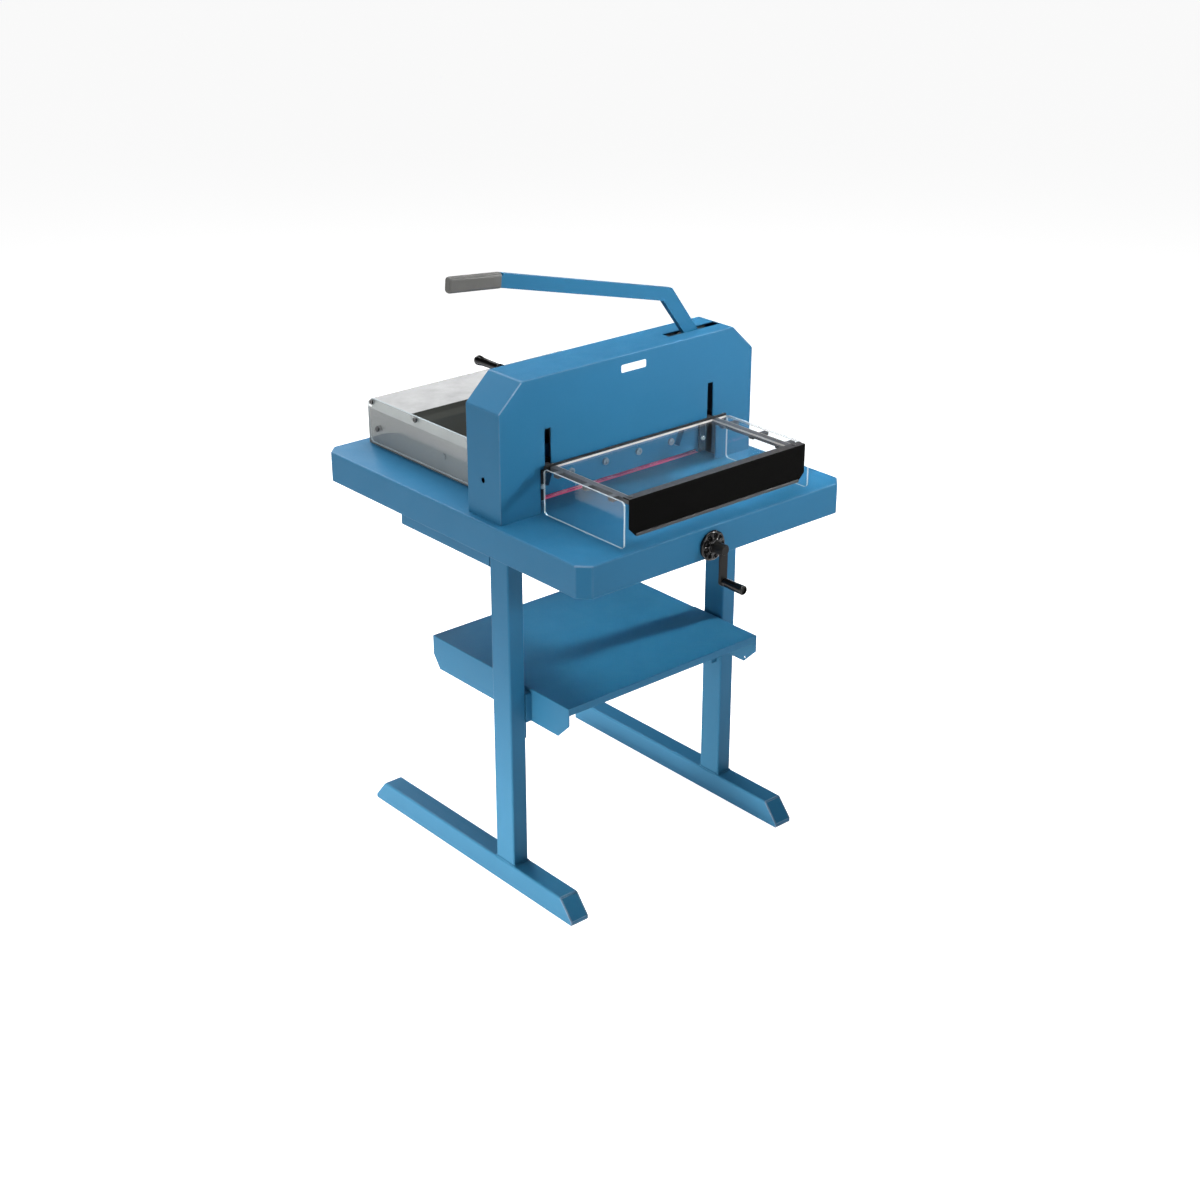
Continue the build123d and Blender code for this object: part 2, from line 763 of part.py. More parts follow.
with BuildPart() as clamp_beam:
    box(-CLAMP_HALF, CLAMP_HALF, CLAMP_FRONT, CLAMP_REAR, CLAMP_BOTTOM, CLAMP_TOP)
    with BuildSketch(across(CLAMP_FRONT + 7)):
        with Locations((CLAMP_PIN_X - 3, (CLAMP_TOP + CLAMP_PIN_Z + 13) / 2)):
            Rectangle(38, CLAMP_PIN_Z + 13 - CLAMP_TOP)
        with Locations((CLAMP_PIN_X - 3, CLAMP_PIN_Z)):
            Rectangle(20, 2 * CRANK_PIN_R + 1.4, mode=Mode.SUBTRACT)
    extrude(amount=7)
    with Locations((0, (CLAMP_FRONT + CLAMP_REAR) / 2, CLAMP_BOTTOM)):
        with GridLocations(60, 1, 7, 1):
            Box(14, CLAMP_REAR - CLAMP_FRONT, 20, mode=Mode.SUBTRACT)
save(clamp_beam, "clamp_beam")

with BuildPart() as clamp_shaft:
    with BuildSketch(across(CLAMP_ARM_BACK)):
        with Locations((CLAMP_X, CLAMP_Z)):
            Circle(CLAMP_SHAFT_R)
    extrude(amount=CLAMP_ARM_BACK - CLAMP_CRANK_FRONT)
save(clamp_shaft, "clamp_shaft")

with BuildPart() as clamp_crank:
    turn = math.radians(180 - CLAMP_SWING / 2)
    turn_u = (math.cos(turn), math.sin(turn))
    with BuildSketch(across(CLAMP_REAR)):
        with BuildLine():
            Polyline(
                beside((CLAMP_X, CLAMP_Z), turn_u, 10),
                beside((CLAMP_PIN_X, CLAMP_PIN_Z), turn_u, 10),
                beside((CLAMP_PIN_X, CLAMP_PIN_Z), turn_u, -10),
                beside((CLAMP_X, CLAMP_Z), turn_u, -10),
                close=True,
            )
        make_face()
        with Locations((CLAMP_X, CLAMP_Z)):
            Circle(15)
        with Locations((CLAMP_PIN_X, CLAMP_PIN_Z)):
            Circle(10)
        with Locations((CLAMP_X, CLAMP_Z)):
            Circle(CLAMP_SHAFT_R, mode=Mode.SUBTRACT)
    extrude(amount=CLAMP_REAR - CLAMP_CRANK_FRONT)
    with BuildSketch(across(CLAMP_CRANK_FRONT)):
        with Locations((CLAMP_PIN_X, CLAMP_PIN_Z)):
            Circle(CRANK_PIN_R)
    extrude(amount=CLAMP_CRANK_FRONT - CLAMP_FRONT)
save(clamp_crank, "clamp_crank")

clamp_arm_l = math.hypot(CLAMP_GRIP_X - CLAMP_X, CLAMP_GRIP_Z - CLAMP_Z)
clamp_arm_u = ((CLAMP_GRIP_X - CLAMP_X) / clamp_arm_l, (CLAMP_GRIP_Z - CLAMP_Z) / clamp_arm_l)

with BuildPart() as clamp_arm:
    with BuildSketch(across(CLAMP_ARM_BACK)):
        with BuildLine():
            Polyline(
                beside((CLAMP_X, CLAMP_Z), clamp_arm_u, 10),
                beside((CLAMP_GRIP_X, CLAMP_GRIP_Z), clamp_arm_u, 8),
                beside((CLAMP_GRIP_X, CLAMP_GRIP_Z), clamp_arm_u, -8),
                beside((CLAMP_X, CLAMP_Z), clamp_arm_u, -10),
                close=True,
            )
        make_face()
        with Locations((CLAMP_X, CLAMP_Z)):
            Circle(15)
        with Locations((CLAMP_GRIP_X, CLAMP_GRIP_Z)):
            Circle(8)
        with Locations((CLAMP_X, CLAMP_Z)):
            Circle(CLAMP_SHAFT_R, mode=Mode.SUBTRACT)
    extrude(amount=8)
    with BuildSketch(across(CLAMP_GRIP_END - 10)):
        with Locations((CLAMP_GRIP_X, CLAMP_GRIP_Z)):
            Circle(4)
    extrude(amount=CLAMP_GRIP_END - 10 - CLAMP_ARM_BACK)
save(clamp_arm, "clamp_arm")

with BuildPart() as clamp_grip:
    with BuildSketch(across(CLAMP_GRIP_END)):
        with Locations((CLAMP_GRIP_X, CLAMP_GRIP_Z)):
            Circle(9.5)
    with BuildSketch(across(CLAMP_ARM_BACK)):
        with Locations((CLAMP_GRIP_X, CLAMP_GRIP_Z)):
            Circle(6.5)
    loft()
    fillet(clamp_grip.faces().sort_by(Axis.Y)[-1].edges(), 4)
    with BuildSketch(across(CLAMP_GRIP_END - 10)):
        with Locations((CLAMP_GRIP_X, CLAMP_GRIP_Z)):
            Circle(4)
    extrude(amount=CLAMP_GRIP_END - 10 - CLAMP_ARM_BACK, mode=Mode.SUBTRACT)
save(clamp_grip, "clamp_grip")

# ---------------------------------------------------------------- front guard
RAIL_X = (-ARM_SLOT_X, ARM_SLOT_X)
RAIL_BOTTOM = GUARD_AXIS_Z - RAIL_H / 2
RAIL_TOP = GUARD_AXIS_Z + RAIL_H / 2

# black plates behind the hood slots, each with two lugs for the guard pin
with BuildPart() as guard_hinge_brackets:
    for x in RAIL_X:
        box(x - 7.5, x + 7.5, PORTAL_FRONT, PORTAL_FRONT + 4, 796, 970)
        box(x - 13.5, x + 13.5, PORTAL_FRONT, PORTAL_FRONT + 4, 856, 880)
        for lug in (-10.5, 10.5):
            box(x + lug - 3, x + lug + 3, -149.6, PORTAL_FRONT, 856, 880)
        with BuildSketch(along(x - 20)):
            with Locations((GUARD_AXIS_Y, GUARD_AXIS_Z)):
                Circle(2 + FIT)
        extrude(amount=40, mode=Mode.SUBTRACT)
save(guard_hinge_brackets, "guard_hinge_brackets")

with BuildPart() as guard_bracket_bolts:
    for x in RAIL_X:
        for z in (824, 918):
            with BuildSketch(across(PORTAL_FRONT)):
                with Locations((x, z)):
                    RegularPolygon(5, 6)
            extrude(amount=3.5)
save(guard_bracket_bolts, "guard_bracket_bolts")

with BuildPart() as guard_rails:
    for x in RAIL_X:
        with BuildSketch(along(x - RAIL_W / 2)):
            with BuildLine():
                Polyline(
                    (GUARD_AXIS_Y, RAIL_BOTTOM),
                    (GUARD_FRONT + 3, RAIL_BOTTOM),
                    (GUARD_FRONT + 3, RAIL_TOP),
                    (GUARD_AXIS_Y, RAIL_TOP),
                    close=True,
                )
            make_face()
            with Locations((GUARD_AXIS_Y, GUARD_AXIS_Z)):
                Circle(RAIL_H / 2)
                Circle(2, mode=Mode.SUBTRACT)
        extrude(amount=RAIL_W)
save(guard_rails, "guard_rails")

with BuildPart() as guard_pins:
    for x in RAIL_X:
        with BuildSketch(along(x - 13)):
            with Locations((GUARD_AXIS_Y, GUARD_AXIS_Z)):
                Circle(2)
        extrude(amount=26)
save(guard_pins, "guard_pins")

with BuildPart() as guard_back_bar:
    rear = GUARD_BACK + 4
    box(GUARD_LEFT + ACRYLIC, GUARD_RIGHT - ACRYLIC, GUARD_BACK, rear, RAIL_TOP, RAIL_TOP + 4)
    box(ARM_SLOT_X + 7, GUARD_RIGHT - ACRYLIC, GUARD_BACK, rear, RAIL_BOTTOM, RAIL_TOP)
    box(GUARD_LEFT + ACRYLIC, -ARM_SLOT_X - 7, GUARD_BACK, rear, RAIL_BOTTOM, RAIL_TOP)
save(guard_back_bar, "guard_back_bar")

# folded front bar: upright face with clipped lower corners and a top flange
with BuildPart() as guard_front_bar:
    bar_right = GUARD_RIGHT - ACRYLIC - 8
    with BuildSketch(across(GUARD_FRONT + 3)):
        with BuildLine():
            Polyline(
                (BAR_LEFT, RAIL_TOP),
                (bar_right, RAIL_TOP),
                (bar_right, BAR_BOTTOM + 16),
                (bar_right - 16, BAR_BOTTOM),
                (BAR_LEFT + 16, BAR_BOTTOM),
                (BAR_LEFT, BAR_BOTTOM + 16),
                close=True,
            )
        make_face()
    extrude(amount=3)
    box(BAR_LEFT, bar_right, GUARD_FRONT, GUARD_FRONT + 18, RAIL_TOP, RAIL_TOP + 2.5)
    box(
        BAR_LEFT + 16,
        bar_right - 16,
        GUARD_FRONT - 2,
        GUARD_FRONT,
        BAR_BOTTOM,
        BAR_BOTTOM + 5,
    )
save(guard_front_bar, "guard_front_bar")

for label, x in (("guard_side_left", GUARD_LEFT), ("guard_side_right", GUARD_RIGHT - ACRYLIC)):
    with BuildPart() as guard_side:
        with BuildSketch(along(x)):
            with Locations(((GUARD_BACK + GUARD_FRONT) / 2, (GUARD_BOTTOM + RAIL_TOP) / 2)):
                RectangleRounded(GUARD_BACK - GUARD_FRONT, RAIL_TOP - GUARD_BOTTOM, 8)
        extrude(amount=ACRYLIC)
    save(guard_side, label)

# clear lid between the rails, and the clear strip out to the right side
with BuildPart() as guard_lid:
    box(
        -ARM_SLOT_X + RAIL_W / 2 + 0.2,
        ARM_SLOT_X - RAIL_W / 2 - 0.2,
        GUARD_FRONT + 18.2,
        GUARD_BACK - 0.2,
        RAIL_TOP - 4,
        RAIL_TOP,
    )
    box(
        ARM_SLOT_X + 7,
        GUARD_RIGHT - ACRYLIC,
        GUARD_FRONT + 18.2,
        GUARD_BACK - 0.2,
        RAIL_TOP - 4,
        RAIL_TOP,
    )
save(guard_lid, "guard_lid")

with BuildPart() as guard_spacers:
    for y in (GUARD_BACK - 30, (GUARD_BACK + GUARD_FRONT) / 2, GUARD_FRONT + 40):
        box(GUARD_LEFT + ACRYLIC, -ARM_SLOT_X - RAIL_W / 2, y - 6, y + 6, RAIL_BOTTOM, RAIL_TOP)
        box(ARM_SLOT_X + RAIL_W / 2, GUARD_RIGHT - ACRYLIC, y - 6, y + 6, RAIL_BOTTOM, RAIL_TOP - 4)
        box(-ARM_SLOT_X + RAIL_W / 2, -ARM_SLOT_X + 12, y - 6, y + 6, RAIL_BOTTOM, RAIL_TOP - 4)
        box(ARM_SLOT_X - 12, ARM_SLOT_X - RAIL_W / 2, y - 6, y + 6, RAIL_BOTTOM, RAIL_TOP - 4)
save(guard_spacers, "guard_spacers")

with BuildPart() as guard_screws:
    for x in (-ARM_SLOT_X, ARM_SLOT_X):
        with Locations((x, GUARD_FRONT + 9, RAIL_TOP + 2.5)):
            Cylinder(4, 2.5, align=(Align.CENTER, Align.CENTER, Align.MIN))
    for x in (-ARM_SLOT_X, ARM_SLOT_X, GUARD_RIGHT - 12):
        with Locations((x, GUARD_BACK + 2, RAIL_TOP + 4)):
            Cylinder(2, 1, align=(Align.CENTER, Align.CENTER, Align.MIN))
save(guard_screws, "guard_screws")

# ---------------------------------------------------------------- back gauge
with BuildPart() as gauge_fence:
    box(-GAUGE_HALF, GAUGE_HALF, GAUGE_Y, GAUGE_Y + 8, TABLE_TOP + 0.4, 846)
    box(-GAUGE_HALF, GAUGE_HALF, GAUGE_Y + 8, GAUGE_Y + 48, TABLE_TOP + 0.4, TABLE_TOP + 7)
    with Locations((0, GAUGE_Y + 8, TABLE_TOP + 7)):
        with GridLocations(110, 1, 5, 1):
            Box(6, 30, 45, align=(Align.CENTER, Align.MIN, Align.MIN))
    with Locations((0, GAUGE_Y + 4, 832)):
        with GridLocations(60, 1, 7, 1):
            Box(16, 8, 28, mode=Mode.SUBTRACT)
save(gauge_fence, "gauge_fence")

with BuildPart() as gauge_carriage:
    box(SPINDLE_X - 8.4, SPINDLE_X + 8.4, GAUGE_Y + 2, GAUGE_Y + 42, 758, TABLE_TOP + 0.4)
    box(SPINDLE_X - 22, SPINDLE_X + 22, GAUGE_Y, GAUGE_Y + 45, 728, 758)
    with BuildSketch(across(GAUGE_Y + 50)):
        with Locations((SPINDLE_X, SPINDLE_Z)):
            Circle(SPINDLE_R + FIT)
    extrude(amount=60, mode=Mode.SUBTRACT)
save(gauge_carriage, "gauge_carriage")

SPINDLE_END = 392.0
HUB_FRONT = -TABLE_D / 2 - 37

with BuildPart() as spindle:
    with BuildSketch(across(SPINDLE_END - 4)):
        with Locations((SPINDLE_X, SPINDLE_Z)):
            Circle(SPINDLE_R)
    extrude(amount=SPINDLE_END - 4 - (HUB_FRONT + 2))
save(spindle, "spindle")

with BuildPart() as spindle_bearing:
    box(SPINDLE_X - 18, SPINDLE_X + 18, 374, SPINDLE_END, 726, TABLE_TOP - PLATE_T)
    with BuildSketch(across(SPINDLE_END)):
        with Locations((SPINDLE_X, SPINDLE_Z)):
            Circle(SPINDLE_R + FIT)
    extrude(amount=20, mode=Mode.SUBTRACT)
save(spindle_bearing, "spindle_bearing")

# lobed black flange on the front skirt that carries the spindle
with BuildPart() as crank_flange:
    with BuildSketch(across(-TABLE_D / 2)):
        with Locations((SPINDLE_X, SPINDLE_Z)):
            Circle(FLANGE_R)
            Circle(SPINDLE_R + FIT, mode=Mode.SUBTRACT)
    extrude(amount=7)
    with BuildSketch(across(-TABLE_D / 2 - 3)):
        with Locations((SPINDLE_X, SPINDLE_Z)):
            with PolarLocations(FLANGE_R - 8.5, 9):
                Circle(4.2)
    extrude(amount=4, mode=Mode.SUBTRACT)
    with BuildSketch(across(-TABLE_D / 2 - 6)):
        with Locations((SPINDLE_X, SPINDLE_Z)):
            Circle(14)
            Circle(SPINDLE_R + FIT, mode=Mode.SUBTRACT)
    extrude(amount=5)
    with BuildSketch(across(-TABLE_D / 2 + SKIRT_T)):
        with Locations((SPINDLE_X, SPINDLE_Z)):
            Circle(13)
            Circle(SPINDLE_R + FIT, mode=Mode.SUBTRACT)
    extrude(amount=SKIRT_T)
save(crank_flange, "crank_flange")

with BuildPart() as crank_arm:
    with BuildSketch(across(-TABLE_D / 2 - 12)):
        with Locations((SPINDLE_X, SPINDLE_Z)):
            Circle(11)
            Circle(SPINDLE_R, mode=Mode.SUBTRACT)
    extrude(amount=17)
    with BuildSketch(across(-TABLE_D / 2 - 29)):
        with Locations((SPINDLE_X, SPINDLE_Z)):
            Circle(11)
        with Locations((SPINDLE_X, SPINDLE_Z - CRANK_DROP)):
            Circle(8.5)
        with Locations((SPINDLE_X, SPINDLE_Z - CRANK_DROP / 2)):
            Rectangle(17, CRANK_DROP)
        with Locations((SPINDLE_X, SPINDLE_Z)):
            Circle(SPINDLE_R, mode=Mode.SUBTRACT)
    extrude(amount=6)
    with BuildSketch(across(HUB_FRONT + 2)):
        with Locations((SPINDLE_X, SPINDLE_Z)):
            Circle(9)
    extrude(amount=2)
    with BuildSketch(across(-TABLE_D / 2 - 35)):
        with Locations((SPINDLE_X, SPINDLE_Z - CRANK_DROP)):
            Circle(4)
    extrude(amount=46)
    with BuildSketch(across(-TABLE_D / 2 - 81)):
        with Locations((SPINDLE_X, SPINDLE_Z - CRANK_DROP)):
            Circle(6)
    extrude(amount=3)
save(crank_arm, "crank_arm")

with BuildPart() as crank_grip:
    with BuildSketch(across(-TABLE_D / 2 - 36)):
        with Locations((SPINDLE_X, SPINDLE_Z - CRANK_DROP)):
            Circle(7.8)
    with BuildSketch(across(-TABLE_D / 2 - 87)):
        with Locations((SPINDLE_X, SPINDLE_Z - CRANK_DROP)):
            Circle(9.2)
    loft()
    fillet(crank_grip.faces().sort_by(Axis.Y)[0].edges(), 2.4)
    with BuildSketch(across(-TABLE_D / 2 - 30)):
        with Locations((SPINDLE_X, SPINDLE_Z - CRANK_DROP)):
            Circle(4 + FIT)
    extrude(amount=70, mode=Mode.SUBTRACT)
    with BuildSketch(across(-TABLE_D / 2 - 80.7)):
        with Locations((SPINDLE_X, SPINDLE_Z - CRANK_DROP)):
            Circle(6.3)
    extrude(amount=20, mode=Mode.SUBTRACT)
save(crank_grip, "crank_grip")

# ---------------------------------------------------------------- rear guard
PIN_HEIGHT = REAR_AXIS_Z - 3
REAR_SCREWS = ((REAR_SPLIT - 18, 874), (REAR_END - 16, 820), (REAR_END, 873))
OUT = SIDE_X + SIDE_T + 3

with BuildPart() as rear_guard_sides:
    for x in (-OUT - ACRYLIC, OUT):
        with BuildSketch(along(x)):
            with BuildLine():
                Polyline(
                    (REAR_FRONT, 788),
                    (REAR_END + 4, 788),
                    (REAR_END + 14, 798),
                    (REAR_END + 14, REAR_TOP - 10),
                    (REAR_END, REAR_TOP),
                    (REAR_FRONT, REAR_TOP),
                    close=True,
                )
            make_face()
            with Locations((REAR_AXIS_Y, PIN_HEIGHT)):
                Circle(4, mode=Mode.SUBTRACT)
        extrude(amount=ACRYLIC)
save(rear_guard_sides, "rear_guard_sides")

with BuildPart() as rear_guard_pins:
    for side in (-1, 1):
        with BuildSketch(along(side * (SIDE_X - 2))):
            with Locations((REAR_AXIS_Y, PIN_HEIGHT)):
                Circle(4)
        extrude(amount=side * (OUT + ACRYLIC + 2 - SIDE_X))
        with BuildSketch(along(side * (OUT + ACRYLIC))):
            with Locations((REAR_AXIS_Y, PIN_HEIGHT)):
                Circle(6)
        extrude(amount=side * 3)
save(rear_guard_pins, "rear_guard_pins")

with BuildPart() as rear_guard_window:
    box(-OUT, OUT, REAR_AXIS_Y + 7, REAR_SPLIT, REAR_TOP - 3, REAR_TOP)
save(rear_guard_window, "rear_guard_window")

with BuildPart() as rear_guard_plate:
    box(-OUT, OUT, REAR_SPLIT, REAR_END, REAR_TOP - 3, REAR_TOP)
    for y in (REAR_SPLIT, REAR_END - 3):
        box(-OUT, OUT, y, y + 3, REAR_TOP - 12, REAR_TOP - 3)
save(rear_guard_plate, "rear_guard_plate")

with BuildPart() as rear_guard_screws:
    for side in (-1, 1):
        for y, z in REAR_SCREWS:
            with BuildSketch(along(side * (OUT + ACRYLIC))):
                with Locations((y, z)):
                    Circle(5.5)
            extrude(amount=side * 3.5)
save(rear_guard_screws, "rear_guard_screws")

# round stops on the side plates that hold the closed rear guard clear of them
with BuildPart() as side_plate_stops:
    for side in (-1, 1):
        with BuildSketch(along(side * (SIDE_X + SIDE_T))):
            with Locations((REAR_END - 16, 820), (120, 820)):
                Circle(6)
        extrude(amount=side * 2.8)
save(side_plate_stops, "side_plate_stops")
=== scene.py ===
"""Looks of the guillotine paper cutter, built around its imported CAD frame."""

import json
import math

import bmesh
import bpy
from mathutils import Euler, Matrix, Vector


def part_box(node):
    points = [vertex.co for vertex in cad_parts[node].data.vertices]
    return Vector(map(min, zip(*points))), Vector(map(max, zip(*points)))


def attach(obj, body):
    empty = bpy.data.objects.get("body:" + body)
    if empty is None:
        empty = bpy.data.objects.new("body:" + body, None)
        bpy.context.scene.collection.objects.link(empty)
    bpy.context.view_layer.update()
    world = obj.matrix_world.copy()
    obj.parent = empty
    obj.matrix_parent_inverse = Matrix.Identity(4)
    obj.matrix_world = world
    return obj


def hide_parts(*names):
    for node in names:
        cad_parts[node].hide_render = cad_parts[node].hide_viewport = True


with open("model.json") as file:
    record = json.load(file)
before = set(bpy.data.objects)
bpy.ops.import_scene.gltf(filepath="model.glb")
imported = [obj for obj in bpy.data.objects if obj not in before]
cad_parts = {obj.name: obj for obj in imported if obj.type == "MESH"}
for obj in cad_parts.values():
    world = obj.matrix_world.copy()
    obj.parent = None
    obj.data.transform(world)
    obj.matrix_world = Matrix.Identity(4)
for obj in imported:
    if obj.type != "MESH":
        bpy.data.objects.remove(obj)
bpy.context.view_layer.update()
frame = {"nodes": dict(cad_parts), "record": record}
MM = 0.001

# the table's middle, which the drawing measures are taken from
plate_low, plate_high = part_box("table_plate")
MID_X = (plate_low.x + plate_high.x) / 2
MID_Y = (plate_low.y + plate_high.y) / 2


def at(x, y, z):
    """Point given in millimetres from the floor under the table's middle."""
    return Vector((MID_X + x * MM, MID_Y + y * MM, z * MM))


# ---------------------------------------------------------------- node helpers
class Shader:
    """A material's node tree with short calls for its usual nodes."""

    def __init__(self, name):
        self.material = bpy.data.materials.new(name)
        self.material.use_nodes = True
        self.tree = self.material.node_tree
        self.tree.nodes.clear()
        self.out = self.add("ShaderNodeOutputMaterial")
        self.place = self.add("ShaderNodeTexCoord").outputs["Object"]

    def add(self, kind, **settings):
        node = self.tree.nodes.new(kind)
        for key, value in settings.items():
            if hasattr(node, key):
                setattr(node, key, value)
            else:
                node.inputs[key].default_value = value
        return node

    def link(self, source, target):
        self.tree.links.new(source, target)

    def scaled(self, scale):
        """Object coordinates stretched by a scale per axis."""
        mapping = self.add("ShaderNodeMapping")
        mapping.inputs["Scale"].default_value = scale
        self.link(self.place, mapping.inputs["Vector"])
        return mapping.outputs["Vector"]

    def noise(self, scale, detail=3.0, rough=0.55, vector=None, low=0.0, high=1.0):
        node = self.add("ShaderNodeTexNoise")
        node.inputs["Scale"].default_value = scale
        node.inputs["Detail"].default_value = detail
        node.inputs["Roughness"].default_value = rough
        self.link(vector or self.place, node.inputs["Vector"])
        return self.ranged(node.outputs["Fac"], 0.25, 0.75, low, high)

    def ranged(self, value, from_low, from_high, low, high):
        node = self.add("ShaderNodeMapRange")
        node.inputs["From Min"].default_value = from_low
        node.inputs["From Max"].default_value = from_high
        node.inputs["To Min"].default_value = low
        node.inputs["To Max"].default_value = high
        self.link(value, node.inputs["Value"])
        return node.outputs["Result"]

    def math(self, operation, *values):
        node = self.add("ShaderNodeMath", operation=operation)
        for value, socket in zip(values, node.inputs):
            if isinstance(value, (int, float)):
                socket.default_value = value
            else:
                self.link(value, socket)
        return node.outputs[0]

    def mix(self, factor, a, b):
        """Colour a turning into colour b as the factor rises."""
        node = self.add("ShaderNodeMix", data_type="RGBA")
        self.link(factor, node.inputs["Factor"])
        for value, socket in ((a, node.inputs[6]), (b, node.inputs[7])):
            if isinstance(value, tuple):
                socket.default_value = (*value, 1.0)
            else:
                self.link(value, socket)
        return node.outputs[2]

    def edge(self):
        """1 on the rounded edges of a finished piece, more where an edge carries a stronger painted
        highlight, 0 on its faces.
        """
        return self.add("ShaderNodeAttribute", attribute_name="edge").outputs["Fac"]

    def bump(self, height, strength, distance, normal=None):
        node = self.add("ShaderNodeBump")
        node.inputs["Strength"].default_value = strength
        node.inputs["Distance"].default_value = distance
        self.link(height, node.inputs["Height"])
        if normal is not None:
            self.link(normal, node.inputs["Normal"])
        return node.outputs["Normal"]

    def surface(self, colour, rough, metal=0.0, normal=None, **values):
        """Principled surface wired to the output."""
        body = self.add("ShaderNodeBsdfPrincipled")
        for value, name in ((colour, "Base Color"), (rough, "Roughness")):
            if isinstance(value, tuple):
                body.inputs[name].default_value = (*value, 1.0)
            elif isinstance(value, float):
                body.inputs[name].default_value = value
            else:
                self.link(value, body.inputs[name])
        body.inputs["Metallic"].default_value = metal
        for name, value in values.items():
            body.inputs[name.replace("_", " ")].default_value = value
        if normal is not None:
            self.link(normal, body.inputs["Normal"])
        self.link(body.outputs[0], self.out.inputs["Surface"])
        return self.material


def shade(colour, factor):
    return tuple(c * factor for c in colour)


def powder_coat(name, colour, rough=0.42, edge_wear_and_highlight=0.05, grain=0.10):
    """Satin powder coat: fine orange peel, faint cloudiness, paler edges that are partly wear and partly
    a painted highlight.
    """
    s = Shader(name)
    cloud = s.noise(7.0, 4.0)
    fine = s.noise(900.0, 2.0)
    base = s.mix(cloud, shade(colour, 0.955), shade(colour, 1.045))
    speck = s.mix(s.ranged(fine, 0.0, 1.0, 0.0, 0.5), base, shade(colour, 0.90))
    # paler rounded edges: partly wear, partly a painted highlight that grows with the edge value
    wear_and_highlight = s.math("MULTIPLY", s.edge(), s.noise(60.0, 4.0, 0.6, None, edge_wear_and_highlight * 0.4, edge_wear_and_highlight))
    pale = tuple(c + (1.0 - c) * 0.28 for c in colour)
    full = s.mix(wear_and_highlight, speck, pale)
    dull = s.noise(22.0, 3.0, 0.6, None, rough - 0.05, rough + 0.05)
    peel = s.bump(s.noise(1500.0, 1.5), grain, 0.0004)
    return s.surface(full, dull, normal=peel, Specular_IOR_Level=0.09)


def brushed(name, colour, along, rough=0.32, metal=1.0):
    """Metal brushed along one axis, with a faint cross variation."""
    s = Shader(name)
    stretch = [900.0, 900.0, 900.0]
    stretch[along] = 14.0
    lines = s.noise(1.0, 3.0, 0.6, s.scaled(stretch))
    cloud = s.noise(9.0, 3.0)
    base = s.mix(lines, shade(colour, 0.80), shade(colour, 1.16))
    full = s.mix(s.ranged(cloud, 0.0, 1.0, 0.0, 0.35), base, shade(colour, 0.82))
    pale = s.mix(s.math("MULTIPLY", s.edge(), 0.5), full, shade(colour, 1.5))
    dull = s.ranged(lines, 0.0, 1.0, rough - 0.07, rough + 0.10)
    return s.surface(pale, dull, metal, s.bump(lines, 0.12, 0.0002))


def brushed_sheet(name, dark, light):
    """Sheet brushed lengthwise, with a painted reflection that makes it paler toward its front and its
    top edge.
    """
    s = Shader(name)
    lines = s.noise(1.0, 3.0, 0.6, s.scaled([900.0, 14.0, 900.0]))
    spot = s.add("ShaderNodeSeparateXYZ")
    s.link(s.place, spot.inputs["Vector"])
    # painted reflection: paler toward the front and toward the top edge
    front_sheen = s.ranged(spot.outputs["Y"], 0.40, 0.05, 0.0, 0.75)
    top_sheen = s.ranged(spot.outputs["Z"], 0.84, 0.88, 0.0, 0.35)
    sheen_tone = s.mix(s.math("ADD", front_sheen, top_sheen), dark, light)
    base = s.mix(s.ranged(lines, 0.0, 1.0, 0.0, 0.35), sheen_tone, shade(light, 1.15))
    dull = s.ranged(lines, 0.0, 1.0, 0.40, 0.55)
    return s.surface(base, dull, 0.2, s.bump(lines, 0.12, 0.0002), Specular_IOR_Level=0.2)


def moulded(name, colour, rough=0.35, grain=0.12, scale=1300.0, rub=0.05, shine=0.3):
    """Moulded plastic with a fine grain and rubbed edges."""
    s = Shader(name)
    cloud = s.noise(30.0, 3.0)
    base = s.mix(cloud, shade(colour, 0.88), shade(colour, 1.14))
    rubbed = s.math("MULTIPLY", s.edge(), s.noise(90.0, 3.0, 0.6, None, 0.10, 0.45))
    full = s.mix(rubbed, base, tuple(c + rub for c in colour))
    dull = s.noise(160.0, 3.0, 0.6, None, rough - 0.07, rough + 0.08)
    grained = s.bump(s.noise(scale, 2.0), grain, 0.0003)
    return s.surface(full, dull, normal=grained, Specular_IOR_Level=shine)


def clear_sheet(name, tint, film):
    """Clear acrylic face: lets light through, shines at a slant, faint haze."""
    s = Shader(name)
    through = s.add("ShaderNodeBsdfTransparent")
    through.inputs["Color"].default_value = (*tint, 1.0)
    gloss = s.add("ShaderNodeBsdfGlossy")
    gloss.inputs["Color"].default_value = (1.0, 1.0, 1.0, 1.0)
    s.link(s.noise(40.0, 3.0, 0.6, None, 0.02, 0.07), gloss.inputs["Roughness"])
    haze = s.add("ShaderNodeBsdfDiffuse")
    haze.inputs["Color"].default_value = (0.86, 0.92, 0.95, 1.0)
    dusty = s.add("ShaderNodeMixShader")
    s.link(s.noise(55.0, 5.0, 0.65, None, film * 0.5, film * 1.6), dusty.inputs["Fac"])
    s.link(through.outputs[0], dusty.inputs[1])
    s.link(haze.outputs[0], dusty.inputs[2])
    slant = s.add("ShaderNodeLayerWeight").outputs["Facing"]
    shine = s.math("MULTIPLY_ADD", s.math("POWER", slant, 5.0), 0.60, 0.02)
    both = s.add("ShaderNodeMixShader")
    s.link(shine, both.inputs["Fac"])
    s.link(dusty.outputs[0], both.inputs[1])
    s.link(gloss.outputs[0], both.inputs[2])
    s.link(both.outputs[0], s.out.inputs["Surface"])
    return s.material


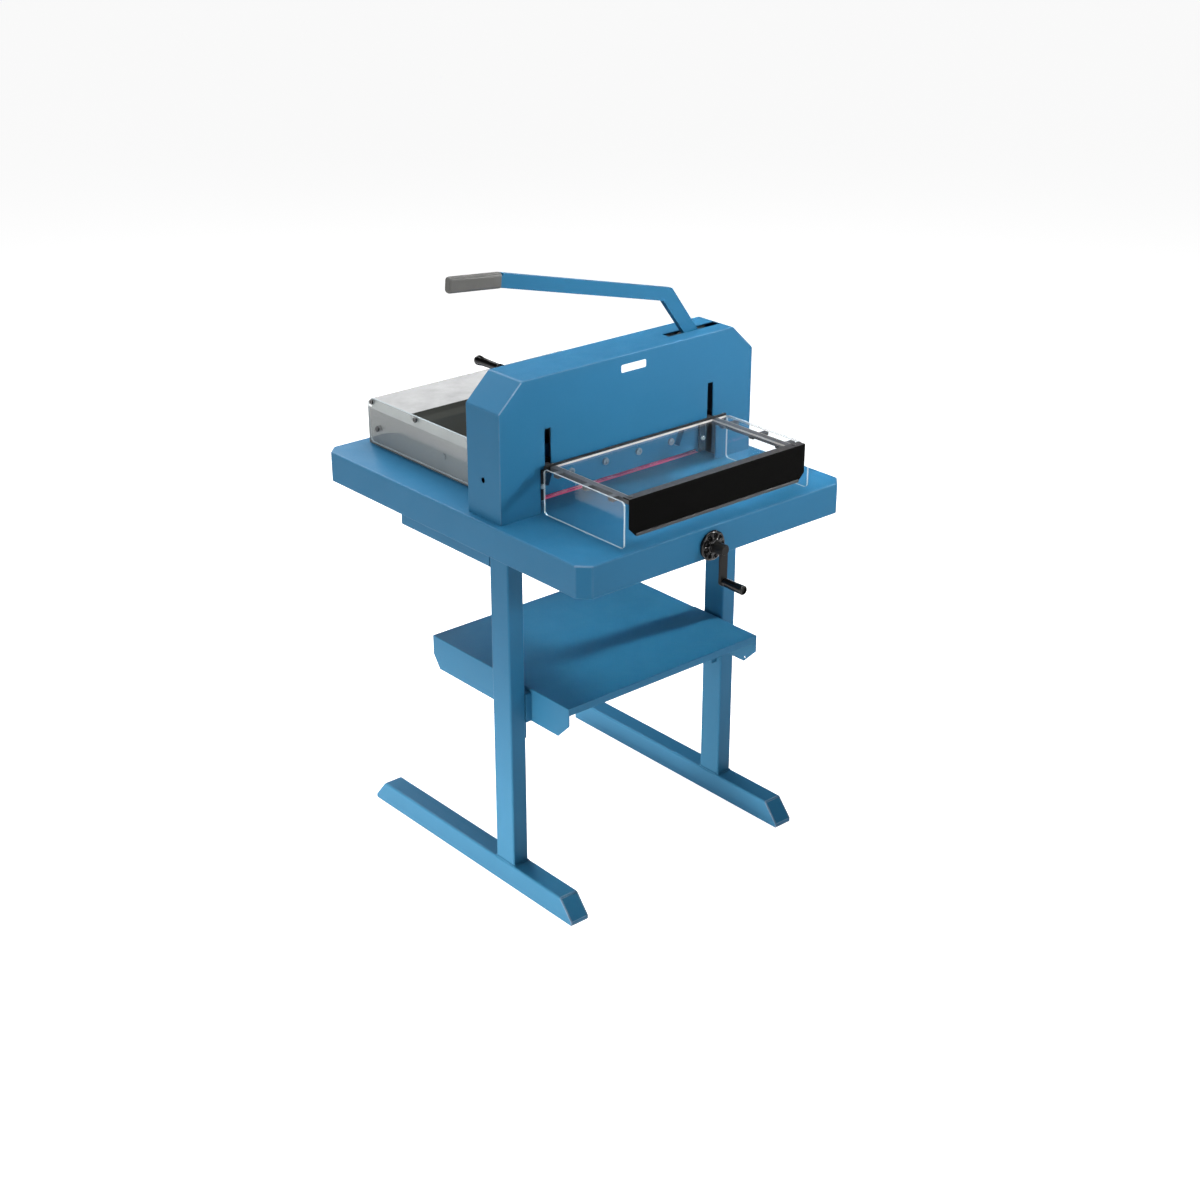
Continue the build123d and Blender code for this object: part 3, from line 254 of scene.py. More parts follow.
def shade_dark_sheet(name, tint, body, shine):
    """Dark sheet that lets little light through; its darkness is painted shade."""
    s = Shader(name)
    through = s.add("ShaderNodeBsdfTransparent")
    through.inputs["Color"].default_value = (*tint, 1.0)
    cover = s.add("ShaderNodeBsdfPrincipled")
    s.link(s.mix(s.noise(26.0, 4.0), shade(body, 0.94), shade(body, 1.06)), cover.inputs["Base Color"])
    s.link(s.noise(60.0, 3.0, 0.6, None, 0.30, 0.34), cover.inputs["Roughness"])
    cover.inputs["Specular IOR Level"].default_value = shine
    both = s.add("ShaderNodeMixShader")
    s.link(s.noise(9.0, 2.0, 0.5, None, 0.58, 0.62), both.inputs["Fac"])
    s.link(through.outputs[0], both.inputs[1])
    s.link(cover.outputs[0], both.inputs[2])
    s.link(both.outputs[0], s.out.inputs["Surface"])
    return s.material


def clear_edge(name, dark, light, alpha):
    """Sawn and polished acrylic edge, which gathers light and looks pale."""
    s = Shader(name)
    streak = s.noise(1.0, 3.0, 0.6, s.scaled([500.0, 500.0, 1800.0]))
    base = s.mix(streak, dark, light)
    return s.surface(
        base, s.ranged(streak, 0.0, 1.0, 0.12, 0.3), normal=s.bump(streak, 0.1, 0.0002), Alpha=alpha
    )


BLUE = (0.0155, 0.098, 0.190)
paint = powder_coat("blue_powder_coat", BLUE)
enamel = powder_coat("blue_arm_enamel", BLUE, rough=0.36, edge_wear_and_highlight=0.08, grain=0.05)
# the stand coat's strong pale edges are a painted highlight
stand_paint = powder_coat("blue_stand_coat", BLUE, edge_wear_and_highlight=0.34)
black = moulded(
    "black_satin_metal",
    (0.0012, 0.0012, 0.0011),
    rough=0.55,
    grain=0.10,
    scale=1700.0,
    shine=0.02,
    rub=0.009,
)
bracket_black = moulded(
    "black_bracket", (0.005, 0.005, 0.005), rough=0.36, grain=0.08, shine=0.1, rub=0.02
)
flange_grey = moulded(
    "grey_flange", (0.034, 0.034, 0.035), rough=0.38, grain=0.10, scale=1700.0, shine=0.2
)
knob_black = moulded(
    "black_knob", (0.0015, 0.0015, 0.0015), rough=0.10, grain=0.02, shine=0.35, rub=0.01
)
grip_grey = moulded(
    "grey_grip", (0.068, 0.068, 0.065), rough=0.42, grain=0.30, scale=700.0, shine=0.3
)
rail_grey = moulded("grey_rail", (0.050, 0.053, 0.058), rough=0.36, grain=0.08)
steel_side = brushed_sheet("brushed_side_plate", (0.135, 0.133, 0.130), (0.27, 0.265, 0.258))
steel = brushed("turned_steel", (0.46, 0.46, 0.47), along=1, rough=0.28)
ground = brushed("ground_blade", (0.60, 0.62, 0.64), along=0, rough=0.22)
milled = brushed("milled_aluminium", (0.56, 0.57, 0.59), along=0, rough=0.36)
zinc = brushed("zinc_plate", (0.56, 0.56, 0.53), along=2, rough=0.30)
bronze = brushed("bronze_slide", (0.45, 0.32, 0.14), along=2, rough=0.34)
arm_grey = moulded(
    "crank_arm_grey", (0.005, 0.005, 0.0047), rough=0.42, grain=0.08, shine=0.14, rub=0.02
)
screw_dark = brushed("dark_screw", (0.10, 0.10, 0.10), along=2, rough=0.34, metal=0.8)
dull_bolt = brushed("dull_bolt", (0.20, 0.23, 0.25), along=2, rough=0.36, metal=0.6)
iron = moulded("cast_iron", (0.10, 0.11, 0.115), rough=0.55, grain=0.5, scale=420.0)
red = moulded("red_stick", (0.62, 0.075, 0.19), rough=0.40, grain=0.10)
light_plate = moulded(
    "light_grey_plate", (0.255, 0.258, 0.260), rough=0.55, grain=0.10, rub=0.05, shine=0.05
)
# grey for strips that paint the light seen through the rear guard's acrylic above its side metal
rim_band_light = moulded("rim_band_painted_light", (0.36, 0.36, 0.355), rough=0.45, grain=0.08, shine=0.1)
white = moulded("white_blank", (0.62, 0.66, 0.69), rough=0.30, grain=0.05)
clear = clear_sheet("acrylic_face", (0.985, 0.995, 1.0), 0.002)
rear_clear = clear_sheet("acrylic_face_rear", (0.95, 0.965, 0.965), 0.03)
rim_clear = clear_edge("acrylic_edge", (0.38, 0.46, 0.50), (0.62, 0.68, 0.70), 0.55)
lid_edge = clear_edge("lid_edge", (0.55, 0.51, 0.47), (0.78, 0.73, 0.68), 0.85)
# the rear window's dark tint and body are painted shade for the shaded inside of the rear guard
shade_window = shade_dark_sheet("window_painted_shade", (0.28, 0.29, 0.28), (0.022, 0.024, 0.021), 0.06)

NODE_MATERIAL = {
    "blue_paint": paint,
    "blue_arm": enamel,
    "black_metal": black,
    "steel": steel,
    "blade_steel": ground,
    "cast": iron,
    "black_plastic": knob_black,
    "grey_plastic": rail_grey,
    "light_plate": light_plate,
    "acrylic": clear,
    "red_plastic": red,
    "aluminium": milled,
    "bronze": bronze,
    "zinc": zinc,
    "label_white": white,
}
slot_of = {row["node"]: row["material_slot"] for row in frame["record"]["subparts"]}
body_of = {}
for body_name, members in frame["record"]["behaviour"]["bodies"].items():
    for member in members:
        body_of[member] = body_name


# ---------------------------------------------------------------- mesh helpers
def finish_mesh(name, bm, materials, body, slot, replaced=()):
    """Turn a bmesh into a smooth-shaded piece riding on its body."""
    bmesh.ops.recalc_face_normals(bm, faces=bm.faces)
    mesh = bpy.data.meshes.new(name)
    bm.to_mesh(mesh)
    bm.free()
    for polygon in mesh.polygons:
        polygon.use_smooth = True
    for material in materials:
        mesh.materials.append(material)
    piece = bpy.data.objects.new(name, mesh)
    bpy.context.scene.collection.objects.link(piece)
    weigh = piece.modifiers.new("weigh", "WEIGHTED_NORMAL")
    weigh.weight = 80
    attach(piece, body)
    if replaced:
        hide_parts(*replaced)
    return piece


def edge_layer(bm):
    """The face layer that the materials read as edge."""
    return bm.faces.layers.float.get("edge") or bm.faces.layers.float.new("edge")


def round_edges(bm, edges, width, segments):
    """Bevel some edges and mark the new faces as edge faces."""
    edge_layer(bm)
    made = bmesh.ops.bevel(
        bm, geom=edges, offset=width, segments=segments, profile=0.5, affect="EDGES", clamp_overlap=True
    )
    layer = edge_layer(bm)
    for face in made["faces"]:
        face[layer] = 1.0


def sharp_edges(bm, angle=28.0):
    """Edges where two faces meet at more than an angle in degrees."""
    limit = math.radians(angle)
    return [e for e in bm.edges if len(e.link_faces) == 2 and e.calc_face_angle(0.0) > limit]


def cad_bmesh(*node_names):
    """Welded copy of CAD meshes with their flat areas joined up again."""
    bm = bmesh.new()
    for node in node_names:
        bm.from_mesh(frame["nodes"][node].data)
    bmesh.ops.remove_doubles(bm, verts=bm.verts, dist=2e-6)
    bmesh.ops.dissolve_limit(bm, angle_limit=math.radians(0.5), verts=bm.verts, edges=bm.edges)
    return bm


def finished(node, width=0.7, segments=2, material=None, pick=None, extra=()):
    """CAD shape with rounded edges, standing for its node."""
    bm = cad_bmesh(node)
    if width:
        round_edges(bm, sharp_edges(bm), width * MM, segments)
    if pick:
        bm.normal_update()
        for face in bm.faces:
            face.material_index = pick(face)
    slot = slot_of[node]
    first = material or NODE_MATERIAL[slot]
    return finish_mesh(node + "_finished", bm, [first, *extra], body_of[node], slot, [node])


def prism(points, low, high, lift):
    """Closed prism: 2-D points lifted into 3-D at two depths."""
    bm = bmesh.new()
    rings = [[bm.verts.new(lift(p, depth)) for p in points] for depth in (low, high)]
    bm.faces.new(rings[0])
    bm.faces.new(rings[1][::-1])
    count = len(points)
    for i in range(count):
        j = (i + 1) % count
        bm.faces.new((rings[0][i], rings[0][j], rings[1][j], rings[1][i]))
    bmesh.ops.recalc_face_normals(bm, faces=bm.faces)
    return bm


def block(x0, x1, y0, y1, z0, z1):
    """Cutter block between two corners, in drawing millimetres."""
    corners = [(x0, y0), (x1, y0), (x1, y1), (x0, y1)]
    return prism(corners, z0, z1, lambda p, z: at(p[0], p[1], z))


def rod(centre, radius, axis, low, high, sides=32):
    """Cutter rod along Y (axis 1) or X (axis 0), in drawing millimetres."""
    turns = [2 * math.pi * i / sides for i in range(sides)]
    ring = [(math.cos(t) * radius, math.sin(t) * radius) for t in turns]
    if axis == 1:
        return prism(ring, low, high, lambda p, y: at(centre[0] + p[0], y, centre[1] + p[1]))
    return prism(ring, low, high, lambda p, x: at(x, centre[0] + p[0], centre[1] + p[1]))


def carve(bm, cutters):
    """Subtract cutter bmeshes from a bmesh and return the result."""
    base = bpy.data.meshes.new("carve_base")
    bm.to_mesh(base)
    bm.free()
    target = bpy.data.objects.new("carve_base", base)
    bpy.context.scene.collection.objects.link(target)
    helpers = []
    for cutter in cutters:
        mesh = bpy.data.meshes.new("carve_tool")
        cutter.to_mesh(mesh)
        cutter.free()
        tool = bpy.data.objects.new("carve_tool", mesh)
        bpy.context.scene.collection.objects.link(tool)
        helpers.append(tool)
        step = target.modifiers.new("cut", "BOOLEAN")
        step.operation = "DIFFERENCE"
        step.solver = "EXACT"
        step.object = tool
    graph = bpy.context.evaluated_depsgraph_get()
    result = bmesh.new()
    result.from_mesh(target.evaluated_get(graph).to_mesh())
    for helper in helpers + [target]:
        bpy.data.objects.remove(helper)
    return result


# ---------------------------------------------------------------- table
CORNER = 22.0
WALL = 5.0
PLATE_THICK = 14.0
HALF_W = (plate_high.x - plate_low.x) / 2 / MM
HALF_D = (plate_high.y - plate_low.y) / 2 / MM
TOP = plate_high.z / MM
SKIRT_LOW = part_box("table_skirt")[0].z / MM
# the spindle's slot in the table and its bearing's hole in the front skirt
SLOT_HALF = 9.0
SLOT_FRONT, SLOT_REAR = -75.0, 372.0
BEARING_HOLE_R = 13.0
# how far a cutter reaches past the surface it opens, and how deep it goes behind a sheet
PAST = 5.0
ABOVE = 3.0
SKIRT_DEEP = 12.0
SHEET_DEEP = 20.0
# strength of the painted highlight on the pale chamfers at the table's front corners, beside 1 elsewhere
CHAMFER_HIGHLIGHT = 5.0


def table_plan(inset):
    """Outline of the table, clipped at the corners, moved inward by an inset."""
    w, d, c = HALF_W - inset, HALF_D - inset, CORNER - 0.5 * inset
    return [
        (-w + c, -d),
        (w - c, -d),
        (w, -d + c),
        (w, d - c),
        (w - c, d),
        (-w + c, d),
        (-w, d - c),
        (-w, -d + c),
    ]


def flat(p, z):
    """Lift of a plan outline to a height."""
    return at(p[0], p[1], z)


bm = prism(table_plan(0), SKIRT_LOW, TOP, flat)
upright = [e for e in bm.edges if abs(e.verts[0].co.z - e.verts[1].co.z) > 0.01]
round_edges(bm, upright, 2.5 * MM, 3)
rim = [e for e in sharp_edges(bm, 50.0) if min(v.co.z for v in e.verts) > (TOP - 1) * MM]
round_edges(bm, rim, 3.0 * MM, 4)
lower_rim = [e for e in sharp_edges(bm, 50.0) if max(v.co.z for v in e.verts) < (SKIRT_LOW + 1) * MM]
round_edges(bm, lower_rim, 1.2 * MM, 2)
rounded = bm.faces.layers.float["edge"]
# the rims of the front corner chamfers get a stronger painted highlight
for face in bm.faces:
    middle = face.calc_center_median()
    if face[rounded] and middle.z > (TOP - 4) * MM:
        in_front = (middle.y - MID_Y) / MM < -HALF_D + CORNER + 2
        at_corner = abs(middle.x - MID_X) / MM > HALF_W - CORNER - 2
        face[rounded] = CHAMFER_HIGHLIGHT if in_front and at_corner else 1.0
spindle_low, spindle_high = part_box("spindle")
spindle_x = (spindle_low.x + spindle_high.x) / 2 / MM - MID_X / MM
spindle_z = (spindle_low.z + spindle_high.z) / 2 / MM


def drawn(v):
    """A packed point as drawing millimetres."""
    return (v.x - MID_X) / MM, (v.y - MID_Y) / MM, v.z / MM


stick_a, stick_b = (drawn(corner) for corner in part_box("cutting_stick"))
bm = carve(
    bm,
    [
        prism(table_plan(WALL), SKIRT_LOW - PAST, TOP - PLATE_THICK, flat),
        block(stick_a[0], stick_b[0], stick_a[1], stick_b[1], stick_a[2], TOP + ABOVE),
        block(
            spindle_x - SLOT_HALF,
            spindle_x + SLOT_HALF,
            SLOT_FRONT,
            SLOT_REAR,
            TOP - SHEET_DEEP,
            TOP + ABOVE,
        ),
        rod((spindle_x, spindle_z), BEARING_HOLE_R, 1, -HALF_D - PAST, -HALF_D + SKIRT_DEEP),
    ],
)
finish_mesh("table_body", bm, [paint], "frame", "blue_paint", ["table_plate", "table_skirt"])

# ---------------------------------------------------------------- hood
front_low, front_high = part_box("hood_front")
rear_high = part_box("hood_rear")[1]
HOOD_HALF = (front_high.x - front_low.x) / 2 / MM
HOOD_TOP = front_high.z / MM
HOOD_FRONT = drawn(front_low)[1]
HOOD_REAR = drawn(rear_high)[1]
SHEET = 3.0
CUT_X, CUT_Z = 54.0, 51.0
# the throat that the paper goes through, opened in both sheets
THROAT, THROAT_TOP = 222.0, 866.0
THROAT_LOW = TOP - SKIRT_DEEP
# the two upright slots of the front guard's brackets
GUARD_SLOT_X, GUARD_SLOT_HALF, GUARD_SLOT_TOP = 203.5, 7.5, 942.0
# the lever's slot in the top band
LEVER_SLOT_LEFT, LEVER_SLOT_RIGHT, LEVER_SLOT_HALF = 122.0, 258.0, 10.0
SIDE_HOLE, SIDE_HOLE_R = (-102.8, 854.7), 5.5
CLAMP_HOLE_R = 12.0
# strength of the painted highlight on the slanted front edges, which are the palest, and on the other
# front edges
SLANT_HIGHLIGHT, FRONT_HIGHLIGHT = 9.0, 2.0


def hood_side(inset):
    """Outline of the hood seen from the front, moved inward by an inset."""
    half, top = HOOD_HALF - inset, HOOD_TOP - inset
    cx, cz = CUT_X - 0.4 * inset, CUT_Z - 0.4 * inset
    low = TOP - 8 * (inset > 0)
    return [
        (-half, low),
        (-half, top - cz),
        (-half + cx, top),
        (half - cx, top),
        (half, top - cz),
        (half, low),
    ]


def upright_plane(p, y):
    """Lift of a front outline to a depth."""
    return at(p[0], y, p[1])


bm = prism(hood_side(0), HOOD_FRONT, HOOD_REAR, upright_plane)
folds = [
    e
    for e in bm.edges
    if abs(e.verts[0].co.y - e.verts[1].co.y) > 0.01 and min(v.co.z for v in e.verts) > (TOP + 50) * MM
]
round_edges(bm, folds, 3.0 * MM, 4)
around = [
    e
    for e in sharp_edges(bm, 50.0)
    if abs(e.verts[0].co.y - e.verts[1].co.y) < 1e-5 and max(v.co.z for v in e.verts) > (TOP + 1) * MM
]
round_edges(bm, around, 2.0 * MM, 3)
# the hood's front edges get a painted highlight, strongest on the slanted ones
slanted = bm.faces.layers.float["edge"]
for face in bm.faces:
    if face[slanted]:
        x, y, z = drawn(face.calc_center_median())
        if y < HOOD_FRONT + 3:
            on_slant = HOOD_HALF - CUT_X < abs(x) < HOOD_HALF and HOOD_TOP - CUT_Z < z < HOOD_TOP - 4
            face[slanted] = SLANT_HIGHLIGHT if on_slant else FRONT_HIGHLIGHT
lever_low, lever_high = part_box("lever_arm")
LEVER_Y = (drawn(lever_low)[1] + drawn(lever_high)[1]) / 2
clamp_low, clamp_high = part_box("clamp_shaft")
clamp_x = (drawn(clamp_low)[0] + drawn(clamp_high)[0]) / 2
clamp_z = (drawn(clamp_low)[2] + drawn(clamp_high)[2]) / 2
bm = carve(
    bm,
    [
        prism(hood_side(SHEET), HOOD_FRONT + SHEET, HOOD_REAR - SHEET, upright_plane),
        block(-THROAT, THROAT, HOOD_FRONT - PAST, HOOD_FRONT + SHEET_DEEP, THROAT_LOW, THROAT_TOP),
        block(-THROAT - 4, THROAT + 4, HOOD_REAR - SHEET_DEEP, HOOD_REAR + PAST, THROAT_LOW, THROAT_TOP),
        *(
            block(
                x - GUARD_SLOT_HALF,
                x + GUARD_SLOT_HALF,
                HOOD_FRONT - PAST,
                HOOD_FRONT + SHEET_DEEP,
                THROAT_TOP - 4,
                GUARD_SLOT_TOP,
            )
            for x in (-GUARD_SLOT_X, GUARD_SLOT_X)
        ),
        block(
            LEVER_SLOT_LEFT,
            LEVER_SLOT_RIGHT,
            LEVER_Y - LEVER_SLOT_HALF,
            LEVER_Y + LEVER_SLOT_HALF,
            HOOD_TOP - SKIRT_DEEP,
            HOOD_TOP + PAST,
        ),
        rod(SIDE_HOLE, SIDE_HOLE_R, 0, -HOOD_HALF - PAST, -HOOD_HALF + SKIRT_DEEP),
        rod((clamp_x, clamp_z), CLAMP_HOLE_R, 1, HOOD_REAR - SHEET_DEEP, HOOD_REAR + PAST),
    ],
)
finish_mesh("hood_shell", bm, [paint], "frame", "blue_paint", ["hood_band", "hood_front", "hood_rear"])

# ---------------------------------------------------------------- pieces with rounded edges
SPECIAL = {
    "side_plates": steel_side,
    "side_plate_stops": steel_side,
    "guard_hinge_brackets": bracket_black,
    "guard_back_bar": bracket_black,
    "guard_screws": screw_dark,
    "blade_bolts": dull_bolt,
    "foot_tubes": stand_paint,
    "foot_end_plates": stand_paint,
    "legs": stand_paint,
    "shelf_tray": stand_paint,
    "shelf_bolts": stand_paint,
}
# node, width of its rounded edges in millimetres, segments across them
for node, width, segments in (
    ("foot_tubes", 2.0, 3),
    ("foot_end_plates", 0.8, 2),
    ("legs", 1.0, 2),
    ("top_beams", 1.0, 2),
    ("shelf_tray", 0.6, 2),
    ("shelf_brackets", 0.8, 2),
    ("shelf_bolts", 0.6, 2),
    ("cutting_stick", 0.5, 1),
    ("side_plates", 0.6, 2),
    ("side_plate_stops", 0.4, 2),
    ("portal_posts", 1.0, 1),
    ("portal_front_plate", 0.8, 1),
    ("portal_rear_plate", 0.8, 1),
    ("lever_shaft", 0.8, 2),
    ("guide_blocks", 0.5, 1),
    ("guard_hinge_brackets", 0.6, 2),
    ("guard_bracket_bolts", 0.4, 2),
    ("spindle_bearing", 0.6, 1),
    ("lever_crank_pin", 0.5, 1),
    ("blade_carrier", 0.8, 2),
    ("blade", 0.05, 1),
    ("blade_bolts", 0.5, 2),
    ("clamp_beam", 0.6, 2),
    ("clamp_shaft", 0.6, 2),
    ("clamp_crank", 0.6, 1),
    ("clamp_arm", 1.0, 2),
    ("guard_rails", 0.8, 2),
    ("guard_pins", 0.3, 1),
    ("guard_back_bar", 0.5, 2),
    ("guard_spacers", 0.5, 2),
    ("guard_screws", 0.4, 2),
    ("rear_guard_pins", 0.5, 2),
    ("rear_guard_plate", 0.6, 2),
    ("gauge_fence", 0.6, 2),
    ("gauge_carriage", 0.8, 2),
    ("spindle", 0.8, 1),
    ("label_plate", 0.3, 2),
):
    finished(node, width, segments, SPECIAL.get(node))

finished("lever_arm", 1.2, 3)


# ---------------------------------------------------------------- acrylic
def faces_along(axis):
    """Clear on the two broad faces square to an axis, pale on the rim."""

    def pick(face):
        return 0 if abs(face.normal[axis]) > 0.9 else 1

    return pick


finished("guard_side_left", 0.4, 2, clear, faces_along(0), [rim_clear])
finished("guard_side_right", 0.4, 2, clear, faces_along(0), [rim_clear])
finished("guard_lid", 0.4, 2, clear, faces_along(2), [lid_edge])
finished("rear_guard_sides", 0.4, 2, rear_clear, faces_along(0), [rim_clear])
finished("rear_guard_window", 0.3, 2, shade_window, faces_along(2), [rim_clear])


bar_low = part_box("guard_front_bar")[0]
LIP_TOP = 5.5
LIP_AREA = 0.01


def bar_face(face):
    """Grey on the top flange and on the folded lower lip, black elsewhere."""
    is_low = face.calc_center_median().z < (bar_low.z + LIP_TOP * MM)
    lip = is_low and face.calc_area() < LIP_AREA
    return 1 if face.normal.z > 0.9 or lip else 0


finished("guard_front_bar", 0.6, 2, black, bar_face, [flange_grey])

# grey strips under the rear guard's two side rims, just inside the acrylic: painted light for the pale
# band where the acrylic rises above the side metal
plate_box = [drawn(corner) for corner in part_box("rear_guard_plate")]
window_front = drawn(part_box("rear_guard_window")[0])[1]
PLATE_T = 3.0
SIDE_METAL_TOP = 857.0
BAND_REACH = 8.0
BAND_NEAR, BAND_FAR = 0.3, 1.7
bm = bmesh.new()
for edge_x, side in ((plate_box[0][0], 1), (plate_box[1][0], -1)):
    x0, x1 = sorted((edge_x + side * BAND_NEAR, edge_x + side * BAND_FAR))
    rear, top = plate_box[1][1] + BAND_REACH, plate_box[1][2] - PLATE_T
    strip = block(x0, x1, window_front, rear, SIDE_METAL_TOP, top)
    mesh = bpy.data.meshes.new("strip")
    strip.to_mesh(mesh)
    strip.free()
    bm.from_mesh(mesh)
    bpy.data.meshes.remove(mesh)
finish_mesh("rear_guard_light_band", bm, [rim_band_light], "rear_guard", "light_plate")


# ---------------------------------------------------------------- turned pieces
def ring_solid(rings, material, name, node):
    """Closed ring-shaped skin through rows of points, the last row joining the first."""
    bm = bmesh.new()
    rows = [[bm.verts.new(point) for point in ring] for ring in rings]
    count = len(rings[0])
    for a, b in zip(rows, rows[1:] + rows[:1]):
        for i in range(count):
            j = (i + 1) % count
            bm.faces.new((a[i], b[i], b[j], a[j]))
    return finish_mesh(name, bm, [material], body_of[node], slot_of[node], [node])


def smooth(value, low, high):
    """0 below low, 1 above high, with a soft rise between."""
    t = min(1.0, max(0.0, (value - low) / (high - low)))
    return t * t * (3.0 - 2.0 * t)


def centre_of(node):
    """Middle and two corners of a node's box, in drawing millimetres."""
    low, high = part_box(node)
    a, b = drawn(low), drawn(high)
    return tuple((p + q) / 2 for p, q in zip(a, b)), a, b


FLUTES = 9
KNOB_SIDES = FLUTES * 16
RIM_R, RIM_DIP = 29.0, 0.5
HUB_R, BORE_R, BOSS_R = 14.0, 8.3, 13.0
SKIN = 3.0


def knob_row(radius, height, relief=0.0):
    """One row of the fluted knob: height before the skirt, relief lowering it between ribs."""
    points = []
    for i in range(KNOB_SIDES):
        turn = 2 * math.pi * i / KNOB_SIDES
        between = smooth(math.cos(FLUTES * turn), -0.55, 0.35)
        r = radius - RIM_DIP * smooth(radius, HUB_R + 9, RIM_R) * (1 - between)
        y = -HALF_D - height + relief * between
        points.append(at(spindle_x + r * math.cos(turn), y, spindle_z + r * math.sin(turn)))
    return points


ring_solid(
    [
        knob_row(BORE_R, -SKIN),
        knob_row(BORE_R, 11.0),
        knob_row(HUB_R - 1.2, 11.0),
        knob_row(HUB_R - 0.3, 10.6),
        knob_row(HUB_R, 9.8),
        knob_row(HUB_R + 0.6, 8.6, 2.6),
        knob_row(HUB_R + 1.8, 8.0, 4.6),
        knob_row(HUB_R + 4.5, 7.8, 5.2),
        knob_row(HUB_R + 8.0, 7.4, 4.8),
        knob_row(HUB_R + 9.6, 7.2, 3.0),
        knob_row(HUB_R + 10.6, 7.0, 0.6),
        knob_row(HUB_R + 12.6, 6.6),
        knob_row(RIM_R - 0.9, 5.8),
        knob_row(RIM_R - 0.2, 4.6),
        knob_row(RIM_R, 3.2),
        knob_row(RIM_R, 1.2),
        knob_row(RIM_R - 0.6, 0.0),
        knob_row(BOSS_R, 0.0),
        knob_row(BOSS_R, -SKIN),
    ],
    knob_black,
    "crank_knob",
    "crank_flange",
)
finished("crank_arm", 1.2, 3, arm_grey)


def turned(name, node, profile, material, sides=40):
    """Turned hollow piece along Y about its node's middle; rows are (depth, radius)."""
    middle = centre_of(node)[0]
    rings = []
    for depth, radius in profile:
        turns = [2 * math.pi * i / sides for i in range(sides)]
        rings.append(
            [at(middle[0] + radius * math.cos(t), depth, middle[2] + radius * math.sin(t)) for t in turns]
        )
    return ring_solid(rings, material, name, node)


grip_back, grip_front = centre_of("crank_grip")[2][1], centre_of("crank_grip")[1][1]
turned(
    "crank_grip_sleeve",
    "crank_grip",
    [
        (grip_back, 4.3),
        (grip_back, 6.9),
        (grip_back - 0.5, 7.6),
        (grip_back - 1.2, 7.9),
        (grip_back - 4.0, 8.0),
        (grip_back - 5.0, 7.5),
        (grip_back - 6.0, 7.6),
        (grip_back - 8.0, 8.1),
        (grip_back - 24.0, 8.5),
        (grip_back - 44.0, 9.0),
        (grip_front + 2.6, 9.2),
        (grip_front + 1.2, 8.8),
        (grip_front + 0.3, 7.9),
        (grip_front, 7.0),
        (grip_front, 6.5),
        (grip_front + 0.4, 6.3),
        (grip_front + 6.2, 6.3),
        (grip_front + 6.2, 4.3),
    ],
    knob_black,
)

clamp_a, clamp_b = centre_of("clamp_grip")[1][1], centre_of("clamp_grip")[2][1]
turned(
    "clamp_grip_knob",
    "clamp_grip",
    [
        (clamp_b - 10.0, 4.0),
        (clamp_a, 4.0),
        (clamp_a, 5.6),
        (clamp_a + 0.8, 6.4),
        (clamp_a + 3.0, 6.8),
        (clamp_b - 40.0, 7.2),
        (clamp_b - 20.0, 7.8),
        (clamp_b - 14.0, 8.6),
        (clamp_b - 9.0, 9.4),
        (clamp_b - 5.0, 9.3),
        (clamp_b - 2.4, 8.3),
        (clamp_b - 0.8, 6.4),
        (clamp_b - 0.1, 3.6),
        (clamp_b, 0.05),
        (clamp_b - 10.0, 0.05),
    ],
    knob_black,
)
finished("lever_grip", 0.6, 2, grip_grey)


# ---------------------------------------------------------------- heads and welds
def spun(bm, profile, middle, direction, sides=24):
    """Turned head grown from a face along X; profile rows are (height, radius)."""
    rings = []
    for height, radius in profile:
        turns = [2 * math.pi * i / sides for i in range(sides)]
        x = middle[0] + direction * height
        ring = []
        for t in turns:
            y, z = middle[1] + radius * math.cos(t), middle[2] + radius * math.sin(t)
            ring.append(bm.verts.new(at(x, y, z)))
        rings.append(ring)
    for a, b in zip(rings, rings[1:]):
        for i in range(sides):
            j = (i + 1) % sides
            bm.faces.new((a[i], b[i], b[j], a[j]))
    bm.faces.new(rings[0])
    bm.faces.new(rings[-1][::-1])


SCREW_SPOTS = ((202.0, 874.0), (334.0, 820.0), (350.0, 873.0))
SCREW_HEAD = (
    (0.0, 5.5),
    (2.2, 5.5),
    (2.9, 5.2),
    (3.3, 4.7),
    (3.4, 4.2),
    (3.4, 2.7),
    (3.2, 2.4),
    (1.4, 2.3),
)
# how deep a head sits inside the screw's own box
HEAD_DEEP = 3.5
screw_low, screw_high = (drawn(corner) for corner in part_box("rear_guard_screws"))
bm = bmesh.new()
for spot_y, spot_z in SCREW_SPOTS:
    spun(bm, SCREW_HEAD, (screw_low[0] + HEAD_DEEP, spot_y, spot_z), -1)
    spun(bm, SCREW_HEAD, (screw_high[0] - HEAD_DEEP, spot_y, spot_z), 1)
screws = "rear_guard_screws"
finish_mesh("rear_screw_heads", bm, [screw_dark], body_of[screws], slot_of[screws], [screws])


def bead(bm, start, end, radius, ripple=3.2, sides=10):
    """Rippled weld bead between two drawing points."""
    a, b = Vector(start), Vector(end)
    line = b - a
    steps = max(8, int(line.length / 0.8))
    one = Vector((0, 0, 1))
    other = line.normalized().cross(one)
    rings = []
    for i in range(steps + 1):
        part = i / steps
        along_line = part * line.length
        taper = smooth(min(part, 1 - part), 0.0, 0.06) * 0.6 + 0.4
        r = radius * taper * (1 + 0.14 * math.cos(2 * math.pi * along_line / ripple))
        middle = a + line * part
        ring = []
        for k in range(sides):
            turn = 2 * math.pi * k / sides
            p = middle + one * (r * math.sin(turn)) + other * (r * math.cos(turn))
            ring.append(bm.verts.new(at(*p)))
        rings.append(ring)
    for p, q in zip(rings, rings[1:]):
        for k in range(sides):
            m = (k + 1) % sides
            bm.faces.new((p[k], q[k], q[m], p[m]))
    bm.faces.new(rings[0])
    bm.faces.new(rings[-1][::-1])


